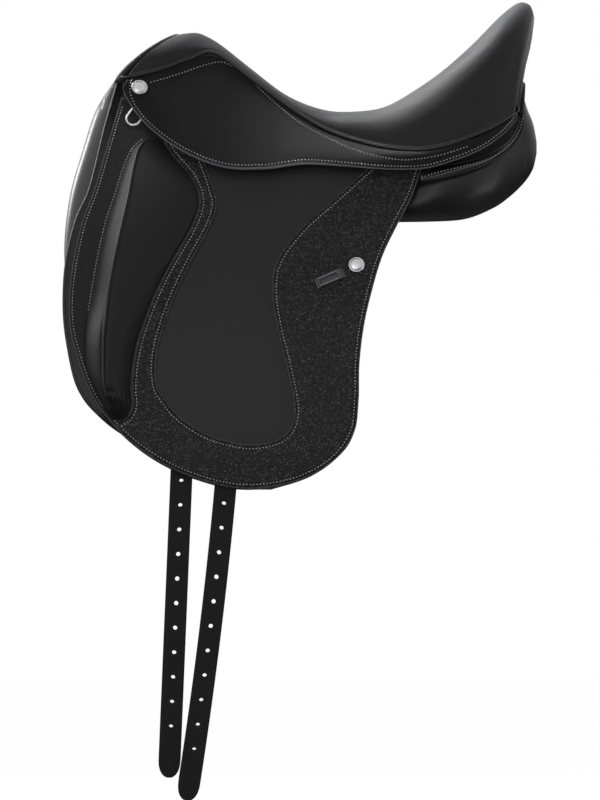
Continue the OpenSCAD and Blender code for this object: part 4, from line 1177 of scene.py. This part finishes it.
class SADDLE_OT_skirts(bpy.types.Operator):
    """Skirts with a raised roll along the welt and two stitch rows"""

    bl_idname = "saddle.skirts"
    bl_label = "Skirts"

    def execute(self, context):
        corner_z = 142
        corner_forward = 3.5
        swelling = 2.6
        dent = 0.35
        dent_w = 1.2
        hem_w = 3.8
        share = np.concatenate([[0, 0.004, 0.01], np.linspace(0.02, 0.9, 46), np.linspace(0.91, 1, 14)])
        s, t = np.meshgrid(np.linspace(0, 1, 300), share, indexing="ij")
        grid = skirt_point(s, t)
        forward = corner_forward * bell(s, 0.05) * bell(grid[..., 2] - corner_z, 16)
        grid = grid - forward[..., None] * AFT
        normal = normals_to(grid, 1)
        upper = smooth_path(SKIRT_ROW)
        hem = inset(smooth_path(skirt_edge()[:, [0, 2]]), hem_w)
        row_gap = line_distance(grid, upper)
        top_gap = np.linalg.norm(grid - grid[:, :1], axis=-1)
        down = top_gap / np.maximum(top_gap + row_gap, 1e-6)
        above = grid[..., 2] > np.interp(grid[..., 0], upper[:, 0], upper[:, 1])
        roll = np.sin(np.pi * down) * np.minimum(4 * down * (1 - t), 1) * above
        swell = swelling * ease((s - 0.38) / 0.2) * ease((0.95 - s) / 0.2) * roll
        dents = bell(row_gap, dent_w) + bell(line_distance(grid, hem), dent_w)
        grid = grid + normal * (swell - dent * dents)[..., None]
        hem = np.concatenate([[(-190.5, 160.5), (-192.2, 156.5), (-193.2, 152.5)], hem[10:-4]])
        rows = [row_on(upper, grid), row_on(hem, grid)]
        for label, side in SIDES:
            sheet(f"skirt_leather_{label}", grid, SKIRT_T, (0, 1, 0.3), "saddle", "smooth_leather", "matt",
                  side, [f"skirt_{label}"], rounding=1.3)
            stitch_rows(f"skirt_stitches_{label}", rows, "saddle", side)
        return {"FINISHED"}


def overlay_grid():
    """Overlay: from its outer edge across to the insert's edge, with close lines at both for the seams."""
    seam_w = 2.0
    lip_at = 1.2
    seam_at = 2.5
    row_at = 4.8
    outer_line = np.concatenate([np.array(BLOCK_REAR, float) + [seam_w, 0], np.array(OVERLAY_EDGE, float)])
    s = np.linspace(0, 1, 460)
    outer = along(outer_line, s)
    inner = along(INSERT_EDGE, s)
    wide = np.linalg.norm(inner - outer, axis=1)[:, None]
    seam = np.array([0, 0.4, 1.0, 1.8, 2.4, 2.9, 3.4, 4.2, 4.8, 5.4, 6.2])
    near = seam * np.minimum(1, 0.42 * wide / seam[-1])
    far = wide - near[:, ::-1]
    middle = near[:, -1:] + (far[:, :1] - near[:, -1:]) * np.linspace(0, 1, 22)[1:-1]
    gap = np.concatenate([near, middle, far], axis=1)
    flat = outer[:, None, :] + (inner - outer)[:, None, :] * (gap / wide)[..., None]
    edge = np.minimum(gap, wide - gap)
    seams = 0.5 * bell(edge - seam_at, 0.45) + 0.35 * bell(edge - row_at, 0.7)
    height = LAYER_GAP + OVERLAY_T - seams + 0.4 * bell(edge - lip_at, 0.7)
    return on_face(flat, flap_face, height), outer, inner


def block_grid(rows=200, columns=110):
    """Thigh block: a gusset that rises as a square, lower down as a sine, to a ridge, then a low crown."""
    ridge_height = 0.97
    crown = 0.55
    roll_from = 0.5
    pocket_at = 0.86
    folds_at = 0.9
    t, q = unit_grid(rows, columns)
    ridge = along(BLOCK_RIDGE, t)
    front = np.clip(q / GUSSET_SHARE, 0, 1)
    back = np.clip((q - GUSSET_SHARE) / (1 - GUSSET_SHARE), 0, 1)
    s = ridge * front + (1 - ridge) * back
    rolled = ease((t - roll_from) / 0.2)
    gusset = ridge_height * ((1 - rolled) * front**2 + rolled * np.sin(0.5 * np.pi * front))
    face = ridge_height + crown * back - (ridge_height + crown) * back**2
    profile = np.where(q < GUSSET_SHARE, gusset, face)
    height = 0.6 + BLOCK_H * along(BLOCK_RISE, t) * np.maximum(0, profile)
    pocket = 1.6 * bell(t - pocket_at, 0.012) * ease(back / 0.12)
    folds = 1.5 * np.sin(34 * back) * bell(t - folds_at, 0.03) * ease((1 - back) / 0.2)
    crease = 1.1 * bell(np.abs(q - GUSSET_SHARE) - 0.026, 0.011) * ease(t / 0.1) * ease((0.97 - t) / 0.1)
    height = height - crease + np.where(q > GUSSET_SHARE, folds - pocket, 0)
    flat = between(BLOCK_FRONT, BLOCK_REAR, 0.0, s, t)
    return on_face(flat, flap_face, LAYER_GAP + np.maximum(height, 0.3))


class SADDLE_OT_flaps(bpy.types.Operator):
    """Flaps with the smooth insert, the grained overlay and all their stitching"""

    bl_idname = "saddle.flaps"
    bl_label = "Flaps"

    def execute(self, context):
        strip_w = 14
        front_hem_w = 4.2
        hem_w = 4.6
        insert_w = 4.8
        corner = 215
        t, s = unit_grid(130, 120)
        flat = between(FLAP_FRONT, FLAP_REAR, FLAP_SAG, s, t)
        face = on_face(flat, flap_face, 0.0)
        front_line = smooth_path(BLOCK_FRONT)[::-1]
        strip = flat[..., 0] < np.interp(flat[..., 1], front_line[:, 1], front_line[:, 0]) + strip_w
        overlay, outer, inner = overlay_grid()
        front_hem = inset(smooth_path(FLAP_FRONT[:10]), front_hem_w)
        hem = inset(outer[corner:], hem_w)
        seam = inset(outer[4 : corner + 3], hem_w)
        insert = inset(inner, -insert_w)
        rows = [row_on(front_hem[12:-20], face)]
        rows += [row_on(line, overlay) for line in (hem, seam, insert)]
        for label, side in SIDES:
            body = f"flap_{label}"
            sheet(f"flap_leather_{label}", face, FLAP_T, OUT, body, "smooth_leather", "insert", side,
                  [f"flap_{label}"], rounding=1.3, numbers={"grained": strip.astype(float)})
            sheet(f"overlay_leather_{label}", overlay, OVERLAY_T, OUT, body, "grained_leather", "grained",
                  side, [f"flap_overlay_{label}"], rounding=0.9)
            stitch_rows(f"flap_stitches_{label}", rows, body, side)
        return {"FINISHED"}


class SADDLE_OT_blocks(bpy.types.Operator):
    """Padded thigh blocks with their ridge piping and front stitch row"""

    bl_idname = "saddle.blocks"
    bl_label = "Thigh blocks"

    def execute(self, context):
        grid = block_grid()
        points, faces = pad(grid, on_face(grid[..., [0, 2]], flap_face, LAYER_GAP))
        column = int(round(GUSSET_SHARE * (grid.shape[1] - 1)))
        ridge = grid[8:-12, column]
        normal = normals_to(grid, 1)[8:-12, column]
        up = np.cross(heading(ridge), normal)
        front = smooth_path(BLOCK_FRONT[:8]) + np.array([1.6, 0])
        stitches = [row_on(front[20:], grid)]
        for label, side in SIDES:
            body = f"flap_{label}"
            block = add_piece(f"thigh_block_leather_{label}", points, faces, body, "smooth_leather", "block",
                              side, [f"thigh_block_{label}"])
            bead(f"block_piping_{label}", ridge + 0.2 * normal, normal, up, BLOCK_PIPING_D, body,
                 "smooth_leather", "piping", side)
            stitch_rows(f"block_stitches_{label}", stitches, body, side)
        return {"FINISHED"}


class SADDLE_OT_sweat_flaps(bpy.types.Operator):
    """Sweat flaps with a bound edge"""

    bl_idname = "saddle.sweat_flaps"
    bl_label = "Sweat flaps"

    def execute(self, context):
        t, s = unit_grid(110, 100)
        grid = on_face(between(SWEAT_FRONT, SWEAT_REAR, SWEAT_SAG, s, t), sweat_face, 0.0)
        border = np.concatenate([smooth_path(SWEAT_FRONT, 240), smooth_path(SWEAT_REAR, 240)[::-1]])
        path = resample(on_face(border, sweat_face, -SWEAT_T / 2), 3.0)
        run = heading(path)
        across = unit(np.cross(run, OUT))
        for label, side in SIDES:
            sheet(f"sweat_flap_leather_{label}", grid, SWEAT_T, OUT, "saddle", "panel_leather", "padding",
                  side, [f"sweat_flap_{label}"])
            bead(f"sweat_flap_binding_{label}", path, across, np.cross(across, run), BINDING_D, "saddle",
                 "panel_leather", "piping", side)
        return {"FINISHED"}


def panel_limit(x, z):
    """Sideways room of the panel inside the sweat flap and the head plate's points; free behind the flap."""
    plate_rear = -108
    sweat_rear = 95
    flap_rear = 130
    free = 200
    inside = strap_room(x, z) + SWEAT_T + FIT_GAP + 0.5
    leg = 5 * ease((plate_rear - x) / 14)
    limit = flap_face(x, z) - FLAP_T - inside - leg + (inside - 2) * ease((x - sweat_rear) / 30)
    return limit + free * ease((x - flap_rear) / 110)


def panel_grid(rows=200, around=96):
    """Panel: rounded sections, tilted and carried along its length, held inside the sweat flap."""
    roundness = 0.75
    blend = 6
    turn = np.linspace(0, 2 * np.pi, around, endpoint=False)
    s, a = np.meshgrid(np.linspace(0, 1, rows), turn, indexing="ij")
    p = along(PANEL_SECTIONS, s)
    wide, thick = (
        p[..., k] * np.sign(wave) * np.abs(wave) ** roundness for k, wave in ((3, np.cos(a)), (4, np.sin(a)))
    )
    tilt = np.radians(p[..., 5])
    x = p[..., 0]
    y = p[..., 1] + wide * np.cos(tilt) - thick * np.sin(tilt)
    z = p[..., 2] + wide * np.sin(tilt) + thick * np.cos(tilt)
    held = soften(-blend * np.log(np.exp(-y / blend) + np.exp(-panel_limit(x, z) / blend)), 4)
    return np.stack([x, np.maximum(GULLET_HALF, held), z], axis=-1)


class SADDLE_OT_panels(bpy.types.Operator):
    """Padded panels with rear gussets, their piping and stitches, and the rolls in front"""

    bl_idname = "saddle.panels"
    bl_label = "Panels"

    def execute(self, context):
        grid = self.grooved(panel_grid())
        roll = self.roll()
        quarter = grid.shape[1] // 4
        wall = np.roll(grid, quarter, axis=1)[:, : 2 * quarter + 1]
        piping, normal = row_on(smooth_path(PANEL_PIPING), wall, 2.0)
        up = np.cross(heading(piping), normal)
        band, across = self.band(wall)
        top = along(FACING_TOP, np.linspace(0, 1, len(band)))
        t = np.linspace(0, 1, 11)[:, None, None]
        facing = band[:, -1] + (top - band[:, -1]) * t - (2 + 2 * np.sin(np.pi * t)) * OUT
        rows = [(band[:, 3], across[:, 3])]
        for label, side in SIDES:
            panel = loft(f"panel_leather_{label}", grid, "saddle", "panel_leather", "padding", side,
                         [f"panel_{label}"])
            front = loft(f"panel_roll_leather_{label}", roll, "saddle", "panel_leather", "roll", side,
                         [f"panel_roll_{label}"])
            sheet(f"side_facing_{label}", facing, LINING_T, (0.2, 1, -0.2), "saddle", "panel_leather", "matt",
                  side)
            sheet(f"panel_band_{label}", band, 1.4, (0.2, 1, 0), "saddle", "panel_leather", "matt", side)
            bead(f"panel_piping_{label}", piping + 0.6 * normal, normal, up, PANEL_PIPING_D, "saddle",
                 "panel_leather", "piping", side)
            stitch_rows(f"panel_stitches_{label}", rows, "saddle", side)
        return {"FINISHED"}

    def grooved(self, grid):
        """Panel with the groove of its gusset seam pressed in on the outer side."""
        depth = 2.6
        width = 3.0
        outer = ease((grid[..., 1] - 70) / 20) * ease((grid[..., 0] - 118) / 14)
        groove = depth * bell(line_distance(grid, smooth_path(PANEL_SEAM)), width) * outer
        normal = grid_normals(np.concatenate([grid[:, -1:], grid, grid[:, :1]], axis=1))[:, 1:-1]
        middle = grid.mean(axis=1, keepdims=True)
        normal = normal * np.sign(np.mean(np.sum(normal * (grid - middle), axis=-1)))
        return grid - normal * groove[..., None]

    def band(self, wall, rows=150, columns=11):
        """Stitched band on the panel's rear, raised in the middle, with its normals."""
        reach = 8
        share = np.linspace(0, 1, rows)[:, None]
        low = along(BAND_LOW, share)
        flat = low + (along(BAND_TOP, share) - low) * np.linspace(0, 1, columns)[None, :, None]
        band, across = (part.reshape(rows, columns, 3) for part in drape(flat.reshape(-1, 2), wall))
        band[..., 1] = soften(band[..., 1], reach)
        across = unit(soften(across, reach))
        raised = 0.8 + 1.4 * np.sin(np.pi * np.linspace(0.12, 0.94, columns)) ** 0.5
        return band + across * raised[None, :, None], across

    def roll(self, rows=110, around=40):
        """Front roll: a round section that swells and tapers along its line, inside the sweat flap."""
        step = 0.02
        flatness = 0.8
        gap = FIT_GAP + 1.2
        share = np.linspace(0, 1, rows)
        p = along(ROLL_LINE, share)
        ahead = along(ROLL_LINE, np.minimum(1, share + step))
        behind = along(ROLL_LINE, np.maximum(0, share - step))
        run = unit(ahead[:, :2] - behind[:, :2])
        a = np.linspace(0, 2 * np.pi, around, endpoint=False)[None, :]
        r = (ROLL_R * p[:, 2])[:, None]
        x = p[:, 0:1] - r * np.cos(a) * run[:, 1:2]
        z = p[:, 1:2] + r * np.cos(a) * run[:, 0:1]
        limit = sweat_face(x, z) - SWEAT_T - gap
        return np.stack([x, limit - r * flatness * (1 - np.sin(a)), z], axis=-1)


class SADDLE_OT_straps(bpy.types.Operator):
    """Girth straps with punched holes"""

    bl_idname = "saddle.straps"
    bl_label = "Girth straps"

    FIRST_HOLE = 58.0
    PITCH = 28.0
    HOLES = 11
    HOLE_R = 2.5
    NOSE = 22.0
    # Straps: start and tip in the side view, bow of the middle line, and layer behind the flap
    STRAPS = {
        "front": ((-118.715, 94.0), (-149.0, -634.0), 0.0, 1),
        "rear": ((-63.776, 80.0), (-129.0, -660.0), 52.0, 0),
    }

    def execute(self, context):
        for name, (start, tip, bow, layer) in self.STRAPS.items():
            points, faces = self.surface(np.array(start), np.array(tip), bow, layer)
            for label, side in SIDES:
                piece = add_piece(f"{name}_strap_leather_{label}", points, faces, f"{name}_strap_{label}",
                                  "strap_leather", "strap", side, [f"{name}_billet_{label}"])
                self.weld(piece)
                thicken(piece, STRAP_T, 1.15)
        return {"FINISHED"}

    def weld(self, piece):
        """Joins the patches of a strap at their shared borders."""
        work = bmesh.new()
        work.from_mesh(piece.data)
        bmesh.ops.remove_doubles(work, verts=work.verts, dist=2e-5)
        work.to_mesh(piece.data)
        work.free()

    def patches(self, drop):
        """Flat strap as patches of across and fall: plain bands, and round each hole a square to circle."""
        half = STRAP_W / 2
        across = np.linspace(-half, half, 13)
        centres = drop - self.FIRST_HOLE - self.PITCH * np.arange(self.HOLES)[::-1]
        top = np.linspace(0, centres[0] - self.PITCH / 2, 60)
        end = drop - self.NOSE
        low = np.linspace(centres[-1] + self.PITCH / 2, end, 8)
        edge = np.linspace(-1, 1, 13)[:-1]
        one = np.ones(12)
        sides = [(edge, -one), (one, edge), (-edge, one), (-one, -edge)]
        square = np.concatenate([np.stack(side, axis=1) for side in sides])
        square = np.concatenate([square, square[:1]]) * np.array([half, self.PITCH / 2])
        circle = self.HOLE_R * unit(square)
        share = np.linspace(0, 1, 6)[:, None, None] ** 1.4
        holes = [circle + (square - circle) * share + np.array([0.0, centre]) for centre in centres]
        reach = np.sin(np.linspace(0, np.pi / 2, 10)[:-1])[:, None]
        narrow = np.sqrt(1 - reach**2.5)
        nose = np.stack(np.broadcast_arrays(narrow * across, end + self.NOSE * reach), axis=-1)
        bands = [np.stack(np.meshgrid(across, fall, indexing="xy"), axis=-1) for fall in (top, low)]
        return [bands[0], *holes, bands[1], nose]

    def surface(self, start, tip, bow, layer):
        """Strap's outer face: patches laid along a bowed middle line and on the layer behind the flap."""
        drop = start[1] - tip[1]
        points = []
        faces = []
        count = 0
        for patch in self.patches(drop):
            w = patch[..., 1] / drop
            mid = start + (tip - start) * w[..., None] + np.stack([bow * w * (1 - w), 0 * w], axis=-1)
            run = unit((tip - start) + np.stack([bow * (1 - 2 * w), 0 * w], axis=-1))
            side = np.stack([-run[..., 1], run[..., 0]], axis=-1)
            xz = mid + side * patch[..., 0:1]
            y = flap_face(start[0], np.maximum(xz[..., 1], -FLAP_DROP)) - FLAP_T - STRAP_GAP
            y = y - layer * (STRAP_T + STRAP_GAP)
            grid = np.stack([xz[..., 0], y, xz[..., 1]], axis=-1)
            points.append(grid.reshape(-1, 3))
            faces.append(outward_faces(grid, grid_faces(*grid.shape[:2]), OUT) + count)
            count += grid.shape[0] * grid.shape[1]
        return np.concatenate(points), np.concatenate(faces)


def flap_frame(x, z, turn):
    """Point above the overlay with directions along the flap, turned by an angle, and outwards."""
    h = 4.0
    level = unit(np.array([2 * h, flap_face(x + h, z) - flap_face(x - h, z), 0.0]))
    upright = np.array([0.0, flap_face(x, z + h) - flap_face(x, z - h), 2 * h])
    n = unit(np.cross(upright, level))
    rise = np.cross(n, level)
    a = level * math.cos(math.radians(turn)) - rise * math.sin(math.radians(turn))
    return np.array([x, float(flap_face(x, z)), z]) + n * (LAYER_GAP + OVERLAY_T + FIT_GAP), a, n


class SADDLE_OT_keepers(bpy.types.Operator):
    """Stitched keepers for the stirrup leathers"""

    bl_idname = "saddle.keepers"
    bl_label = "Keepers"

    def execute(self, context):
        half_length = 17
        half_width = 5.5
        wall = 1.4
        origin, a, n = flap_frame(34.0, -69.0, 24.0)
        b = np.cross(n, a)
        columns = np.linspace(-half_width, half_width, 25)
        p, q = np.meshgrid(np.linspace(-half_length, half_length, 90), columns, indexing="ij")
        plateau = ease((half_length - np.abs(p)) / 2.6)
        slot = ease((2.9 - np.abs(q)) / 0.9) * ease((p + 12.5) / 1.6) * ease((9 - p) / 1.6)
        lump = bell(p - 13, 2.6) * ease((5.2 - np.abs(q)) / 2)
        height = wall + 3.0 * plateau + 1.2 * lump - 2.6 * slot - 0.5 * (q / half_width) ** 6
        grid = origin + p[..., None] * a + q[..., None] * b + height[..., None] * n
        lines = [grid[12:-24, column] + 0.1 * n for column in (3, 21)]
        rows = [(line, np.broadcast_to(n, line.shape)) for line in lines]
        for label, side in SIDES:
            sheet(f"keeper_leather_{label}", grid, wall, n, f"flap_{label}", "smooth_leather", "keeper", side,
                  [f"stirrup_keeper_{label}"], rounding=0.6)
            stitch_rows(f"keeper_stitches_{label}", rows, f"flap_{label}", side, size=0.6, pitch=2.6)
        return {"FINISHED"}


class SADDLE_OT_metal(bpy.types.Operator):
    """Round studs with a bare domed middle"""

    bl_idname = "saddle.metal"
    bl_label = "Studs"

    # Half section of a stud: radius, height
    PROFILE = [
        (9.25, 0.0), (9.25, 1.6), (9.15, 2.3), (8.8, 2.9), (8.3, 3.15), (7.8, 3.0), (7.45, 2.55), (7.2, 2.35),
        (6.9, 2.5), (6.2, 2.95), (5.0, 3.45), (3.5, 3.8), (1.8, 3.97), (0.4, 4.0),
    ]

    def execute(self, context):
        frames = {"pommel_stud": self.skirt_frame(0.8 / 15, 0.55), "flap_stud": flap_frame(64.0, -54.0, 0.0)}
        for name, values in frames.items():
            rings = self.turned(*values)
            for label, side in SIDES:
                body = "saddle" if name == "pommel_stud" else f"flap_{label}"
                loft(f"{name}_nickel_{label}", rings, body, "nickel", "nickel", side, [f"{name}_{label}"])
        return {"FINISHED"}

    def skirt_frame(self, s, t):
        """Point above the skirt with a direction along it and the one outwards."""
        steps = np.array([-1, 0, 1])
        patch = skirt_point(*np.meshgrid(s + 0.004 * steps, t + 0.02 * steps, indexing="ij"))
        n = normals_to(patch, 1)[1, 1]
        return patch[1, 1] + n * LAYER_GAP, unit(np.cross(UP, n)), n

    def turned(self, origin, a, n, around=72):
        """Rings of the smooth profile turned about the normal at a point."""
        p = along(self.PROFILE, np.linspace(0, 1, 60))
        angle = np.linspace(0, 2 * np.pi, around, endpoint=False)[:, None]
        ring = np.cos(angle) * a + np.sin(angle) * np.cross(n, a)
        return origin + p[:, None, 0:1] * ring[None] + p[:, None, 1:2] * n


class SADDLE_OT_finishes(bpy.types.Operator):
    """Finishes of the frame's own pieces: tree, steelwork, webs, rings and chapes"""

    bl_idname = "saddle.finishes"
    bl_label = "Frame finishes"

    # Finish by the start of a node's name, of which the last that fits counts
    KINDS = {
        "tree": "wood", "head_plate": "steel", "tree_spring": "steel", "stirrup_bar": "steel",
        "bar_rivets": "steel", "safety_catch": "steel", "seat_web": "webbing", "girth_web": "webbing",
        "dee_ring": "nickel", "dee_chape": "strap",
    }

    def execute(self, context):
        for name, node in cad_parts.items():
            found = [kind for start, kind in self.KINDS.items() if name.startswith(start)]
            if found and not node.hide_render:
                node.data.materials.clear()
                node.data.materials.append(finish_of(found[-1]))
        return {"FINISHED"}


class SADDLE_PT_panel(bpy.types.Panel):
    """Saddle tools in the sidebar"""

    bl_idname = "SADDLE_PT_panel"
    bl_label = "Dressage saddle"
    bl_space_type = "VIEW_3D"
    bl_region_type = "UI"
    bl_category = "Saddle"

    def draw(self, context):
        for tool in OPERATORS:
            self.layout.operator(tool.bl_idname)


OPERATORS = (
    SADDLE_OT_stage, SADDLE_OT_seat, SADDLE_OT_linings, SADDLE_OT_skirts, SADDLE_OT_flaps, SADDLE_OT_blocks,
    SADDLE_OT_sweat_flaps, SADDLE_OT_panels, SADDLE_OT_straps, SADDLE_OT_keepers, SADDLE_OT_metal,
    SADDLE_OT_finishes,
)
CLASSES = (SaddleSizes, SaddleColours, StageLooks, *OPERATORS, SADDLE_PT_panel)


def register():
    """Registers the classes and hangs the settings on the scene."""
    for cls in CLASSES:
        bpy.utils.register_class(cls)
    bpy.types.Scene.saddle_sizes = PointerProperty(type=SaddleSizes)
    bpy.types.Scene.saddle_colours = PointerProperty(type=SaddleColours)
    bpy.types.Scene.stage_looks = PointerProperty(type=StageLooks)


def unregister():
    """Takes the settings and the classes away again."""
    del bpy.types.Scene.stage_looks
    del bpy.types.Scene.saddle_colours
    del bpy.types.Scene.saddle_sizes
    for cls in reversed(CLASSES):
        bpy.utils.unregister_class(cls)


def main():
    """Builds everything in order."""
    register()
    for tool in OPERATORS:
        group, name = tool.bl_idname.split(".")
        getattr(getattr(bpy.ops, group), name)()


if __name__ == "__main__":
    main()
